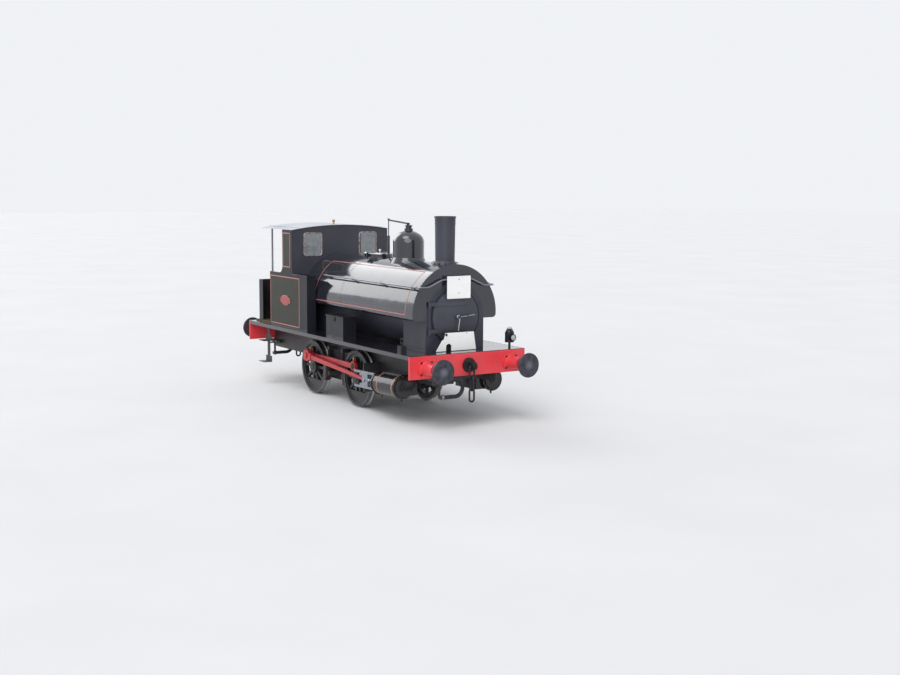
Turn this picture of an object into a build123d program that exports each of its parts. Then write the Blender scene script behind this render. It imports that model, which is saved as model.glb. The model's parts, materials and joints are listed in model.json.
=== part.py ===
"""An outside-cylinder 0-4-0 saddle tank steam locomotive, in millimetres.

X points forward, Y to the locomotive's left and Z up. The origin is at the middle of
its length, under its centre line, at the tips of the wheel flanges.
"""
from math import asin, atan2, cos, degrees, radians, sin, sqrt, tan
import os

from build123d import *

os.makedirs("parts", exist_ok=True)

# Wheels and rail level
WHEEL_R = 520.0              # radius of the tread
FLANGE = 29.0                # flange depth below the tread, so the rail top is at this height
WHEELBASE = 1800.0
DRIVER_X = -1075.0           # rear axle, which the engine drives
BACK_TO_BACK = 1362.0
TYRE_W = 127.0
TYRE_T = 65.0
AXLE_R = 80.0
JOURNAL_FIT = 0.08           # radial running clearance in bearings
SPOKES = 10

# Frames, beams and running plate
FRAME_OUT = 615.0            # outer face of each frame plate from the centre line
FRAME_T = 25.0
OVER_BEAMS = 6650.0
BEAM_T = 38.0
BEAM_DEPTH = 392.0
PLATE_RISE = 1250.0          # running plate top above the rail
PLATE_T = 10.0
PLATE_HALF_W = 1187.0
VALANCE_DEPTH = 60.0
FRAME_DEPTH = 560.0          # main depth of the frame plates

# Buffers and couplings
BUFFER_REACH = 585.0
BUFFER_HALF_GAUGE = 870.0
BUFFER_RISE = 1030.0
BUFFER_HEAD_R = 215.0
HOOK_RISE = 1030.0
LINK_BAR_R = 17.0
LINK_INNER = 196.0           # clear length inside one coupling link
LINK_GAP = 0.4               # play between two hanging links
HOOK_FIT = 5.0               # the top link stands clear of the hook's square corners

# Engine: cylinders, slide bars and rods
CRANK = 229.0                # half of an 18 inch stroke
ROD_L = 2416.0               # connecting rod between centres
INCLINE = 1.5                # degrees that the cylinders rise towards the front
ENGINE_Y = 940.0             # centre line of each cylinder
CYL_R = 195.0
CYL_FLANGE = 13.0            # the end covers stand this far outside the barrel
CYL_LENGTH = 800.0
PISTON_ROD_R = 32.0
GLAND_L = 90.0
CROSSHEAD_L = 300.0
CROSSHEAD_HALF_H = 112.0
CROSSHEAD_HALF_W = 44.0
CROSSHEAD_BOSS_L = 50.0
STROKE_FIT = 25.0            # from the crosshead's boss to the gland at the front dead centre
TRAVEL_FIT = 8.0             # round the crosshead's path in the motion brackets
CHEEK_T = 17.0
SLIPPER_T = 21.0             # thickness of the crosshead above and below the rod's slot
SLIPPER_EDGE = 43.0          # and above and below the openings in its cheeks
SLIDE_FIT = 0.5
BAR_H = 46.0
BAR_W = 70.0
PIN_R = 34.0                 # crosshead pin
CRANKPIN_R = 50.0
EYE_R = 92.0                 # outside of the coupling rod eyes
COUPLING_ROD_Y = (828.0, 884.0)
BIG_END_T = 64.0
ROD_T = 40.0
OPEN_FIT = 0.5               # play at the eye where the coupled linkage closes
BRACKET_FIT = 26.0           # from the leading wheels' flanges to the motion brackets
BRACKET_T = 26.0

# Boiler, smokebox and saddle tank
BOILER_RISE = 1830.0         # boiler centre above the rail
BOILER_R = 590.0
SMOKEBOX_R = 600.0
FRONT_X = 2875.0             # front face of smokebox and tank
SMOKEBOX_L = 760.0
DOOR_R = 490.0
DOOR_BULGE = 78.0
DOOR_RIM_T = 20.0
DOOR_HINGE_Y = -540.0
SEAT = 0.3                   # working clearance between separate pressings
FIREBOX_FRONT = -380.0
BACKHEAD_X = -1660.0
FIREBOX_HALF_W = 560.0
FIREBOX_BASE_RISE = 740.0
TANK_R = 865.0
TANK_CENTRE_RISE = 1880.0
TANK_BASE_RISE = 1780.0
TANK_CORNER_R = 70.0
CHIMNEY_X = 2538.0
CHIMNEY_R = 170.0
CHIMNEY_TOP_RISE = 3570.0
CHIMNEY_WALL = 16.0
DOME_X = 1275.0
DOME_R = 288.0
DOME_TOP_RISE = 3280.0
DOME_CROWN = 218.0           # height of the dome's rounded top above its straight side
DOME_KNUCKLE = 180.0         # radius of the bend between the side and the flatter crown
FILLER_X = 195.0
FILLER_R = 252.0
FILLER_TOP_RISE = 2800.0
HANDRAIL_RISE = 2366.0
HANDRAIL_R = 16.0
HANDRAIL_OFF = 80.0          # rail centre from the tank's side plating
HANDRAIL_FRONT_OFF = 62.0    # and from its front

# Cab
CAB_FRONT_X = -1425.0
CAB_HALF_W = 1080.0
SHEET = 8.0
ROOF_FRONT = -1395.0
ROOF_BACK = -2825.0
ROOF_HALF_W = 1100.0
ROOF_EAVES_RISE = 3218.0
ROOF_CAMBER = 92.0
SIDE_BACK = -2475.0          # doorway edge of the lower side sheets
SIDE_UPPER_BACK = -1875.0    # doorway edge above the waist
WAIST_RISE = 2335.0
BUNKER_FRONT = -775.0
BUNKER_INNER = 890.0
BACK_SHEET_X = -3195.0
BACK_SHEET_RISE = 2120.0
BACK_RETURN = 175.0
BACK_HALF_W = 1005.0
FLOOR_T = 30.0
WINDOW_Y = (425.0, 821.0)
WINDOW_RISE = (2690.0, 3150.0)
WINDOW_CORNER = 60.0

# Places worked out from the sizes above
RAIL = FLANGE
AXLE_Z = RAIL + WHEEL_R
LEADING_X = DRIVER_X + WHEELBASE
FLANGE_R = WHEEL_R + FLANGE
BRACKET_X = LEADING_X + FLANGE_R + BRACKET_FIT
CYL_BACK = ROD_L + CRANK + CROSSHEAD_L / 2 + CROSSHEAD_BOSS_L + STROKE_FIT + GLAND_L
BAR_BACK = ROD_L - CRANK - CROSSHEAD_L / 2
PLATE_TOP = RAIL + PLATE_RISE
PLATE_UNDER = PLATE_TOP - PLATE_T
BEAM_FACE = OVER_BEAMS / 2
FRAME_END = BEAM_FACE - BEAM_T
WHEEL_BACK = BACK_TO_BACK / 2
WHEEL_FACE = WHEEL_BACK + TYRE_W
BOILER_Z = RAIL + BOILER_RISE
TANK_Z = RAIL + TANK_CENTRE_RISE
BUFFER_Z = RAIL + BUFFER_RISE
HOOK_Z = RAIL + HOOK_RISE
WAIST_Z = RAIL + WAIST_RISE


def box(x0, x1, y0, y1, z0, z1):
    """A block between two corners."""
    centre = Pos((x0 + x1) / 2, (y0 + y1) / 2, (z0 + z1) / 2)
    return centre * Box(abs(x1 - x0), abs(y1 - y0), abs(z1 - z0))


def rod_x(radius, x0, x1, y, z):
    """A round bar along X."""
    return Pos((x0 + x1) / 2, y, z) * Rot(0, 90, 0) * Cylinder(radius, abs(x1 - x0))


def rod_y(radius, y0, y1, x, z):
    """A round bar along Y."""
    return Pos(x, (y0 + y1) / 2, z) * Rot(90, 0, 0) * Cylinder(radius, abs(y1 - y0))


def rod_z(radius, z0, z1, x, y):
    """A round bar along Z."""
    return Pos(x, y, (z0 + z1) / 2) * Cylinder(radius, abs(z1 - z0))


def slab_xz(points, y0, y1):
    """A flat plate whose outline is drawn in X and Z, standing between two values of Y."""
    face = make_face(Polyline(*[(x, 0, z) for x, z in points], close=True))
    return Pos(0, min(y0, y1), 0) * extrude(face, amount=abs(y1 - y0), dir=(0, 1, 0))


def slab_yz(points, x0, x1):
    """A flat plate whose outline is drawn in Y and Z, standing between two values of X."""
    face = make_face(Polyline(*[(0, y, z) for y, z in points], close=True))
    return Pos(min(x0, x1), 0, 0) * extrude(face, amount=abs(x1 - x0), dir=(1, 0, 0))


def tube(points, radius, bends):
    """A round bar swept along straight runs joined by tangent arcs."""
    path = FilletPolyline(*points, radius=bends)
    section = Plane(origin=path @ 0, z_dir=path % 0) * Circle(radius)
    return sweep(section, path=path)


def other_side(shape):
    """The same piece on the other side of the centre line."""
    return mirror(shape, about=Plane.XZ)


def both_sides(shape):
    """A piece and its mirror image as two separate solids."""
    return shape + other_side(shape)


def save(node, shape):
    """Write one node's solids to its own file."""
    export_step(Compound(children=list(shape.solids())), f"parts/{node}.step")


# Frame plates, deep round the axles, with a slot for each axlebox
HORN_HALF_W = 105.0
HORN_TOP = AXLE_Z + 150.0
HORN_BASE = AXLE_Z - 190.0
FRAME_LOW = PLATE_UNDER - FRAME_DEPTH
frame_plate = box(-FRAME_END, FRAME_END, FRAME_OUT - FRAME_T, FRAME_OUT, FRAME_LOW, PLATE_UNDER)
for axle_x in (DRIVER_X, LEADING_X):
    horn = [
        (axle_x - 420, FRAME_LOW),
        (axle_x - 230, HORN_BASE),
        (axle_x + 230, HORN_BASE),
        (axle_x + 420, FRAME_LOW),
    ]
    frame_plate += slab_xz(horn, FRAME_OUT - FRAME_T, FRAME_OUT)
for axle_x in (DRIVER_X, LEADING_X):
    frame_plate -= box(
        axle_x - HORN_HALF_W, axle_x + HORN_HALF_W, 0, FRAME_OUT + 1, HORN_BASE - 1, HORN_TOP
    )
save("frame_plates", both_sides(frame_plate))

# Stretchers across the frames: x of the rear face, height of the lower edge above the frame's
STRETCHER_T = 20.0
STRETCHER_TOP = PLATE_UNDER - 60.0
stretchers = []
for x, rise in (
    (-FRAME_END + 387, 60),
    (BACKHEAD_X - 490, 60),
    (LEADING_X - 475, 120),
    (BRACKET_X, 40),
    (FRAME_END - 337, 60),
):
    stretchers.append(
        box(x, x + STRETCHER_T, FRAME_T - FRAME_OUT, FRAME_OUT - FRAME_T, FRAME_LOW + rise, STRETCHER_TOP)
    )
save("frame_stretchers", Compound(children=stretchers))

# Axleboxes in their horns, with a keep under each
BOX_OUT = FRAME_OUT + 50.0
BOX_IN = FRAME_OUT - FRAME_T - 40.0
axleboxes = []
for axle_x in (DRIVER_X, LEADING_X):
    block = box(
        axle_x - HORN_HALF_W, axle_x + HORN_HALF_W, BOX_IN, BOX_OUT, HORN_BASE + 20, HORN_TOP
    )
    block -= rod_y(AXLE_R + JOURNAL_FIT, BOX_IN - 1, BOX_OUT + 1, axle_x, AXLE_Z)
    axleboxes += [block, other_side(block)]
save("axleboxes", Compound(children=axleboxes))

# Underhung leaf springs: each leaf is a strip of a ring whose centre lies above the axle
SPRING_R = 1500.0
LEAF_T = 12.0
SPRING_Y = (FRAME_OUT - 14.0, FRAME_OUT + 56.0)
SPRING_TOP = HORN_BASE - 40.0
HALF_SPANS = (390.0, 350.0, 300.0, 250.0, 200.0, 150.0)


def leaf_spring(axle_x):
    """One spring pack with its buckle and the two hangers up to the frame plate."""
    centre_z = SPRING_TOP + SPRING_R
    mid_y = (SPRING_Y[0] + SPRING_Y[1]) / 2
    width = SPRING_Y[1] - SPRING_Y[0]
    pack = None
    for index, half_span in enumerate(HALF_SPANS):
        inner = SPRING_R + index * LEAF_T
        ring = Cylinder(inner + LEAF_T, width) - Cylinder(inner, width + 2)
        ring = Pos(axle_x, mid_y, centre_z) * Rot(90, 0, 0) * ring
        leaf = ring & box(
            axle_x - half_span, axle_x + half_span, *SPRING_Y, SPRING_TOP - 200, SPRING_TOP + 200
        )
        pack = leaf if pack is None else pack + leaf
    depth = LEAF_T * len(HALF_SPANS)
    buckle = box(
        axle_x - 45, axle_x + 45, SPRING_Y[0] - 6, SPRING_Y[1], SPRING_TOP - depth - 12, HORN_BASE + 20
    )
    pack = pack + buckle
    tip_z = centre_z - sqrt(SPRING_R**2 - (HALF_SPANS[0] - 30) ** 2)
    for end in (-1, 1):
        hanger_x = axle_x + end * (HALF_SPANS[0] - 30)
        pack += rod_z(15, tip_z - 60, FRAME_LOW - 10, hanger_x, mid_y)
        pack += box(hanger_x - 28, hanger_x + 28, *SPRING_Y, tip_z - 34, tip_z - 14)
        pack += box(
            hanger_x - 40, hanger_x + 40, FRAME_OUT, SPRING_Y[1], FRAME_LOW - 10, FRAME_LOW + 70
        )
    return pack


leaf_springs = []
for axle_x in (DRIVER_X, LEADING_X):
    spring = leaf_spring(axle_x)
    leaf_springs += [spring, other_side(spring)]
save("leaf_springs", Compound(children=leaf_springs))

# Buffer beams, with the running plate's front edge resting on them
BEAM_LOW = PLATE_UNDER - BEAM_DEPTH
beam = box(FRAME_END, BEAM_FACE, -PLATE_HALF_W, PLATE_HALF_W, BEAM_LOW, PLATE_UNDER)
save("front_beam", beam)
save("rear_beam", mirror(beam, about=Plane.YZ))

# Buffers: square pad, tapered housing, plunger and head
PAD_T = 36.0
HOUSING_L = 300.0
HEAD_T = 46.0
housing_profile = Polyline(
    (0, 0), (165, 0), (165, PAD_T), (130, PAD_T), (118, PAD_T + 24), (96, PAD_T + HOUSING_L - 26),
    (104, PAD_T + HOUSING_L - 22), (104, PAD_T + HOUSING_L), (0, PAD_T + HOUSING_L), close=True,
)
housing = revolve(make_face(housing_profile), axis=Axis.Y)
PLUNGER_R = 58.0
housing -= Pos(0, PAD_T + HOUSING_L / 2, 0) * Rot(90, 0, 0) * Cylinder(PLUNGER_R + SEAT, HOUSING_L)
HEAD_BACK = BUFFER_REACH - HEAD_T
head_profile = Polyline(
    (0, PAD_T + 40), (PLUNGER_R, PAD_T + 40), (PLUNGER_R, HEAD_BACK), (BUFFER_HEAD_R - 10, HEAD_BACK + 12),
    (BUFFER_HEAD_R, HEAD_BACK + 18), (BUFFER_HEAD_R, HEAD_BACK + 30),
    (BUFFER_HEAD_R - 8, BUFFER_REACH - 7), (BUFFER_HEAD_R - 60, BUFFER_REACH), (0, BUFFER_REACH),
    close=True,
)
head = revolve(make_face(head_profile), axis=Axis.Y)
housings = []
heads = []
for end in (-1, 1):
    for side in (-1, 1):
        place = Pos(end * BEAM_FACE, side * BUFFER_HALF_GAUGE, BUFFER_Z) * Rot(0, 0, -90 * end)
        housings.append(place * housing)
        heads.append(place * head)
save("buffer_housings", Compound(children=housings))
save("buffer_heads", Compound(children=heads))

# Drawhooks: a round spring plate on the beam, then a thick plate with the link's eye and the hook
HOOK_PLATE_R = 128.0
HOOK_PLATE_T = 30.0
HOOK_EYE_X = 105.0           # centre of the eye ahead of the beam
HOOK_EYE_R = 30.0
HOOK_THROAT = (190.0, 16.0)  # centre of the hook's throat, ahead of the beam and above the eye
HOOK_THROAT_R = 30.0
HOOK_WALL = 40.0
HOOK_HALF_T = 16.0
HOOK_HALF_H = 52.0
throat_x, throat_z = HOOK_THROAT
throat_half = HOOK_HALF_T + 1
hook = rod_x(HOOK_PLATE_R, 0, HOOK_PLATE_T, 0, 0)
hook += box(HOOK_PLATE_T, throat_x, -HOOK_HALF_T, HOOK_HALF_T, -HOOK_HALF_H, HOOK_HALF_H)
hook += rod_y(HOOK_THROAT_R + HOOK_WALL, -HOOK_HALF_T, HOOK_HALF_T, throat_x, throat_z - 10)
hook -= rod_y(HOOK_EYE_R, -throat_half, throat_half, HOOK_EYE_X, 0)
hook -= rod_y(HOOK_THROAT_R, -throat_half, throat_half, throat_x, throat_z)
mouth = [
    (throat_x - HOOK_THROAT_R, throat_z), (throat_x + HOOK_THROAT_R, throat_z),
    (throat_x + HOOK_THROAT_R, throat_z + 100), (throat_x - HOOK_THROAT_R - 25, throat_z + 100),
]
hook -= slab_xz(mouth, -throat_half, throat_half)
front_hook = Pos(BEAM_FACE, 0, HOOK_Z) * hook
save("drawhooks", front_hook + mirror(front_hook, about=Plane.YZ))


def link(inner_length, width):
    """One oval coupling link in the YZ plane, with the top of its inside at the origin."""
    bow = width / 2 - LINK_BAR_R
    section = Pos(0, bow, 0) * Circle(LINK_BAR_R)
    half_ring = revolve(Plane.XY * section, axis=Axis.X, revolution_arc=180)
    top_z = LINK_BAR_R - bow
    low_z = top_z - (inner_length - 2 * (bow - LINK_BAR_R))
    shape = Pos(0, 0, top_z) * half_ring
    shape += Pos(0, 0, low_z) * Rot(180, 0, 0) * half_ring
    for side in (-1, 1):
        shape += rod_z(LINK_BAR_R, low_z, top_z, 0, side * bow)
    return shape


LINK_W = 128.0
chain_top = HOOK_Z - HOOK_EYE_R + HOOK_FIT
chain = []
for index in range(3):
    turn = 90 if index == 1 else 0
    top = chain_top - index * (LINK_INNER - LINK_GAP)
    chain.append(Pos(BEAM_FACE + HOOK_EYE_X, 0, top) * Rot(0, 0, turn) * link(LINK_INNER, LINK_W))
save("coupling_front", Compound(children=chain))
save("coupling_rear", Compound(children=[mirror(one, about=Plane.YZ) for one in chain]))

# Vacuum brake pipe under each beam; its hose turns back in a half round to a stop
HOSE_R = 33.0
HOSE_BEND_R = 145.0
HOSE_BEND_Y = -310.0
HOSE_X = BEAM_FACE + 62.0
HOSE_HIGH = BEAM_LOW - 46.0
HOSE_LOW = HOSE_HIGH - 2 * HOSE_BEND_R
HOSE_END_Y = -580.0
PIPE_R = 28.0
PIPE_BEND_R = 60.0
PIPE_Y = -FRAME_OUT - PIPE_R - 30.0
PIPE_BACK = FRAME_END - 385.0
pipe_points = [(PIPE_BACK, PIPE_Y, HOSE_HIGH), (HOSE_X, PIPE_Y, HOSE_HIGH), (HOSE_X, HOSE_END_Y, HOSE_HIGH)]
vacuum_pipe = tube(pipe_points, PIPE_R, [PIPE_BEND_R])
CLIP_X = PIPE_BACK + 90.0
CLIP_T = 8.0
vacuum_pipe += box(
    CLIP_X, CLIP_X + 30, PIPE_Y - PIPE_R - CLIP_T, -FRAME_OUT,
    HOSE_HIGH - PIPE_R - CLIP_T, HOSE_HIGH + PIPE_R + CLIP_T,
)
STOP_L = 40.0
STRAP_T = 12.0
STRAP_W = 30.0
stop_y = HOSE_END_Y - STOP_L
strap_top = HOSE_HIGH - PIPE_R - STRAP_T
strap_y = PIPE_Y - PIPE_R - STRAP_T
strap_outline = [
    (stop_y, HOSE_LOW - 20), (HOSE_END_Y, HOSE_LOW - 20), (HOSE_END_Y, strap_top), (strap_y, strap_top),
    (strap_y, BEAM_LOW + 60), (strap_y - STRAP_W, BEAM_LOW + 60), (strap_y - STRAP_W, strap_top - STRAP_W),
    (stop_y, strap_top - STRAP_W),
]
stop = slab_yz(strap_outline, BEAM_FACE, BEAM_FACE + STRAP_T)
stop += box(BEAM_FACE, HOSE_X, stop_y, stop_y + STRAP_T, HOSE_LOW - 20, HOSE_LOW + 20)
stop += rod_y(HOSE_R - 3, stop_y, HOSE_END_Y, HOSE_X, HOSE_LOW)
bend_out_y = HOSE_BEND_Y + HOSE_BEND_R
hose_points = [
    (HOSE_X, HOSE_END_Y, HOSE_LOW),
    (HOSE_X, bend_out_y, HOSE_LOW),
    (HOSE_X, bend_out_y, HOSE_HIGH),
    (HOSE_X, HOSE_END_Y, HOSE_HIGH),
]
HOSE_BENDS = [HOSE_BEND_R - 0.5, HOSE_BEND_R - 0.5]
vacuum_hose = tube(hose_points, HOSE_R, HOSE_BENDS)
print("hose bend radii in mm:", HOSE_BENDS)
front_pipes = vacuum_pipe + stop
save("vacuum_pipes", front_pipes + mirror(front_pipes, about=Plane.YZ))
save("vacuum_hoses", vacuum_hose + mirror(vacuum_hose, about=Plane.YZ))

# Wheels: built on the axle's centre, the outer face to the left
HUB_R = 128.0
HUB_FACE = WHEEL_FACE + 12.0
CRANK_BOSS_R = 95.0
RIM_IN = WHEEL_R - TYRE_T - 52.0
RIM_BACK = WHEEL_BACK + 18.0
RIM_FRONT = WHEEL_FACE - 18.0
tyre_profile = Polyline(
    (WHEEL_R - TYRE_T, WHEEL_BACK), (FLANGE_R - 9, WHEEL_BACK), (FLANGE_R, WHEEL_BACK + 9),
    (FLANGE_R, WHEEL_BACK + 17), (WHEEL_R + 7, WHEEL_BACK + 31), (WHEEL_R, WHEEL_BACK + 40),
    (WHEEL_R - 4, WHEEL_FACE - 4), (WHEEL_R - 8, WHEEL_FACE), (WHEEL_R - TYRE_T, WHEEL_FACE), close=True,
)
rim_profile = Polyline(
    (RIM_IN, RIM_BACK), (WHEEL_R - TYRE_T, RIM_BACK), (WHEEL_R - TYRE_T, RIM_FRONT), (RIM_IN, RIM_FRONT),
    close=True,
)


def wheel(crank_angle, pin_end):
    """A spoked wheel with its tyre, crank boss, balance weight and crankpin."""
    body = revolve(make_face(tyre_profile), axis=Axis.Y)
    body += revolve(make_face(rim_profile), axis=Axis.Y)
    body += rod_y(HUB_R, BOX_OUT + 8, HUB_FACE, 0, 0)
    spoke = slab_xz(
        [(0, -34), (RIM_IN + 8, -22), (RIM_IN + 8, 22), (0, 34)], RIM_BACK + 18, RIM_FRONT - 20
    )
    for index in range(SPOKES):
        body += Rot(0, 360 / SPOKES * (index + 0.5) - crank_angle, 0) * spoke
    turn = Rot(0, -crank_angle, 0)
    web = slab_xz([(0, -108), (CRANK, -82), (CRANK, 82), (0, 108)], RIM_BACK + 10, HUB_FACE - 6)
    body += turn * web
    body += turn * rod_y(CRANK_BOSS_R, RIM_BACK, HUB_FACE, CRANK, 0)
    weight = Cylinder(RIM_IN + 6, RIM_FRONT - RIM_BACK - 16) & box(-RIM_IN, -250, -320, 320, -100, 100)
    weight = Pos(0, (RIM_BACK + RIM_FRONT) / 2, 0) * Rot(90, 0, 0) * weight
    body += turn * weight
    body -= rod_y(AXLE_R, 0, HUB_FACE + 1, 0, 0)
    body += turn * rod_y(CRANKPIN_R, HUB_FACE - 2, pin_end, CRANK, 0)
    body += turn * rod_y(CRANKPIN_R + 14, COUPLING_ROD_Y[1] + 1.5, pin_end, CRANK, 0)
    body += turn * rod_y(CRANKPIN_R + 16, HUB_FACE - 2, COUPLING_ROD_Y[0] - 1.5, CRANK, 0)
    return body


# Crank angles, measured up from straight ahead: the right side leads by a quarter turn
RIGHT_CRANK = 90.0
LEFT_CRANK = 180.0
LEADING_PIN_END = COUPLING_ROD_Y[1] + 6.0
DRIVER_PIN_END = ENGINE_Y - BIG_END_T / 2 - 5.0
for axle, axle_x, pin_end in (("rear", DRIVER_X, DRIVER_PIN_END), ("front", LEADING_X, LEADING_PIN_END)):
    place = Pos(axle_x, 0, AXLE_Z)
    save(f"wheel_{axle}_left", place * wheel(LEFT_CRANK, pin_end))
    save(f"wheel_{axle}_right", place * other_side(wheel(RIGHT_CRANK, pin_end)))
    save(f"axle_{axle}", rod_y(AXLE_R, -HUB_FACE, HUB_FACE, axle_x, AXLE_Z))


def crankpin(crank_angle):
    """Where the driving crankpin stands, from the driving axle."""
    return CRANK * cos(radians(crank_angle)), CRANK * sin(radians(crank_angle))


# Coupling rods between the crankpins of each side
def coupling_rod(crank_angle):
    """A rod with round eyes and a deeper middle, built for the left side."""
    x, z = crankpin(crank_angle)
    near, far = COUPLING_ROD_Y
    half = WHEELBASE / 2
    outline = [
        (0, -46), (half, -56), (WHEELBASE, -46), (WHEELBASE, 46), (half, 56), (0, 46),
    ]
    rod = slab_xz(outline, near + 8, far - 8)
    for eye_x, fit in ((0, JOURNAL_FIT), (WHEELBASE, OPEN_FIT)):
        rod += rod_y(EYE_R, near, far, eye_x, 0)
        rod += rod_z(24, 0, EYE_R + 26, eye_x, (near + far) / 2)
        rod -= rod_y(CRANKPIN_R + fit, near - 1, far + 1, eye_x, 0)
    return Pos(DRIVER_X + x, 0, AXLE_Z + z) * rod


save("coupling_rod_left", coupling_rod(LEFT_CRANK))
save("coupling_rod_right", other_side(coupling_rod(RIGHT_CRANK)))

# The engine's own axis starts at the driving axle and rises forward by the incline
engine_frame = Pos(DRIVER_X, 0, AXLE_Z) * Rot(0, -INCLINE, 0)


def rod_pose(crank_angle):
    """Crosshead pin distance along the engine axis and the rod's slope to it in degrees."""
    x = CRANK * cos(radians(crank_angle - INCLINE))
    z = CRANK * sin(radians(crank_angle - INCLINE))
    return x + sqrt(ROD_L**2 - z**2), degrees(asin(z / ROD_L))


# Connecting rods, from the crosshead pin back to the driving crankpin
SMALL_END_R = 54.0
ROD_HALF_H = (27.0, 46.0)    # at the crosshead and at the big end
BIG_END_R = 104.0
SMALL_END_T = 2 * (CROSSHEAD_HALF_W - CHEEK_T) - 6.0


def connecting_rod(crank_angle):
    """A tapered rod with a strapped big end, which carries its own journal, on the left."""
    pin_x, slope = rod_pose(crank_angle)
    small_h, big_h = ROD_HALF_H
    outline = [(0, -small_h), (-ROD_L, -big_h), (-ROD_L, big_h), (0, small_h)]
    half = ROD_T / 2
    rod = slab_xz(outline, ENGINE_Y - half, ENGINE_Y + half)
    rod += rod_y(SMALL_END_R, ENGINE_Y - SMALL_END_T / 2, ENGINE_Y + SMALL_END_T / 2, 0, 0)
    rod -= rod_y(PIN_R + JOURNAL_FIT, 0, 2 * ENGINE_Y, 0, 0)
    big_in = ENGINE_Y - BIG_END_T / 2
    big_out = ENGINE_Y + BIG_END_T / 2
    strap = box(-ROD_L - BIG_END_R, -ROD_L + 190, big_in, big_out, -BIG_END_R, BIG_END_R)
    strap -= box(-ROD_L + 96, -ROD_L + 200, big_in - 1, big_out + 1, 70, BIG_END_R + 1)
    strap -= box(-ROD_L + 96, -ROD_L + 200, big_in - 1, big_out + 1, -BIG_END_R - 1, -70)
    strap = fillet(strap.edges().filter_by(Axis.Y).group_by(Axis.X)[0], 60)
    rod += strap
    rod += rod_y(CRANKPIN_R + 8, big_out, big_out + 22, -ROD_L, 0)
    rod += rod_z(26, 0, BIG_END_R + 30, -ROD_L, ENGINE_Y)
    return engine_frame * Pos(pin_x, 0, 0) * Rot(0, slope, 0) * rod


save("connecting_rod_left", connecting_rod(LEFT_CRANK))
save("connecting_rod_right", other_side(connecting_rod(RIGHT_CRANK)))

# Crossheads: a box with a slot for the rod's small end, its pin and the piston rod
BORE_END = CYL_BACK + CYL_LENGTH - 60.0
PISTON_ROD_END = CYL_BACK + CRANK + 60.0


def crosshead(crank_angle):
    """One crosshead with its piston rod, on the left."""
    pin_x, slope = rod_pose(crank_angle)
    inner = ENGINE_Y - CROSSHEAD_HALF_W
    outer = ENGINE_Y + CROSSHEAD_HALF_W
    half = CROSSHEAD_L / 2
    block = box(-half, half, inner, outer, -CROSSHEAD_HALF_H, CROSSHEAD_HALF_H)
    slot = CROSSHEAD_HALF_H - SLIPPER_T
    open_half = CROSSHEAD_HALF_H - SLIPPER_EDGE
    block -= box(-half - 1, 78, inner + CHEEK_T, outer - CHEEK_T, -slot, slot)
    block -= box(-half - 1, -64, inner - 1, outer + 1, -open_half, open_half)
    block += rod_y(PIN_R, inner, outer, 0, 0)
    block += rod_y(PIN_R + 16, outer, outer + 14, 0, 0)
    block += rod_x(CROSSHEAD_HALF_W, half, half + CROSSHEAD_BOSS_L, ENGINE_Y, 0)
    mid_pin = rod_pose(INCLINE + 90)[0]
    block += rod_x(PISTON_ROD_R, half, PISTON_ROD_END - mid_pin, ENGINE_Y, 0)
    return engine_frame * Pos(pin_x, 0, 0) * block


save("crosshead_left", crosshead(LEFT_CRANK))
save("crosshead_right", other_side(crosshead(RIGHT_CRANK)))

# Cylinders: barrel with end covers, the valve chest that bolts to the frame, and the gland
COVER_T = 34.0
CYL_FRONT = CYL_BACK + CYL_LENGTH
barrel = rod_x(CYL_R, CYL_BACK, CYL_FRONT, ENGINE_Y, 0)
for x in (CYL_BACK, CYL_FRONT - COVER_T):
    barrel += rod_x(CYL_R + CYL_FLANGE, x, x + COVER_T, ENGINE_Y, 0)
barrel += rod_x(CYL_R - 30, CYL_FRONT, CYL_FRONT + 26, ENGINE_Y, 0)
barrel += rod_x(70, CYL_FRONT + 26, CYL_FRONT + 46, ENGINE_Y, 0)
barrel += rod_x(70, CYL_BACK - GLAND_L, CYL_BACK, ENGINE_Y, 0)
chest = box(CYL_BACK + 60, CYL_FRONT - 60, FRAME_OUT - 40, ENGINE_Y, -CYL_R + 30, CYL_R + 20)
barrel += chest
barrel -= rod_x(PISTON_ROD_R + JOURNAL_FIT, CYL_BACK - GLAND_L - 1, BORE_END, ENGINE_Y, 0)
for x in (CYL_BACK + 70, CYL_FRONT - 70):
    barrel += rod_z(13, -CYL_R - 52, -CYL_R + 20, x, ENGINE_Y)
barrel = engine_frame * barrel
barrel -= box(0, BEAM_FACE, 0, FRAME_OUT, 0, PLATE_TOP)
save("cylinders", both_sides(barrel))

# Slide bars above and below each crosshead, from the cylinder cover back past the bracket
bars = []
for side in (-1, 1):
    low = CROSSHEAD_HALF_H + SLIDE_FIT
    bars.append(
        engine_frame
        * box(
            BAR_BACK, CYL_BACK, ENGINE_Y - BAR_W / 2, ENGINE_Y + BAR_W / 2, side * low,
            side * (low + BAR_H),
        )
    )
save("slide_bars", Compound(children=bars + [other_side(bar) for bar in bars]))

# Motion brackets on the frames, each a plate open outwards round the crosshead's path
slot_half = CROSSHEAD_HALF_H + SLIDE_FIT + BAR_H
bracket_z = AXLE_Z + (BRACKET_X - DRIVER_X) * tan(radians(INCLINE))
bracket = box(
    BRACKET_X, BRACKET_X + BRACKET_T, FRAME_OUT, ENGINE_Y + BAR_W / 2, bracket_z - 230, bracket_z + 300
)
bracket -= engine_frame * box(
    BAR_BACK, CYL_BACK, ENGINE_Y - CROSSHEAD_HALF_W - TRAVEL_FIT, ENGINE_Y + 300, -slot_half, slot_half
)
save("motion_brackets", both_sides(bracket))

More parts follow.
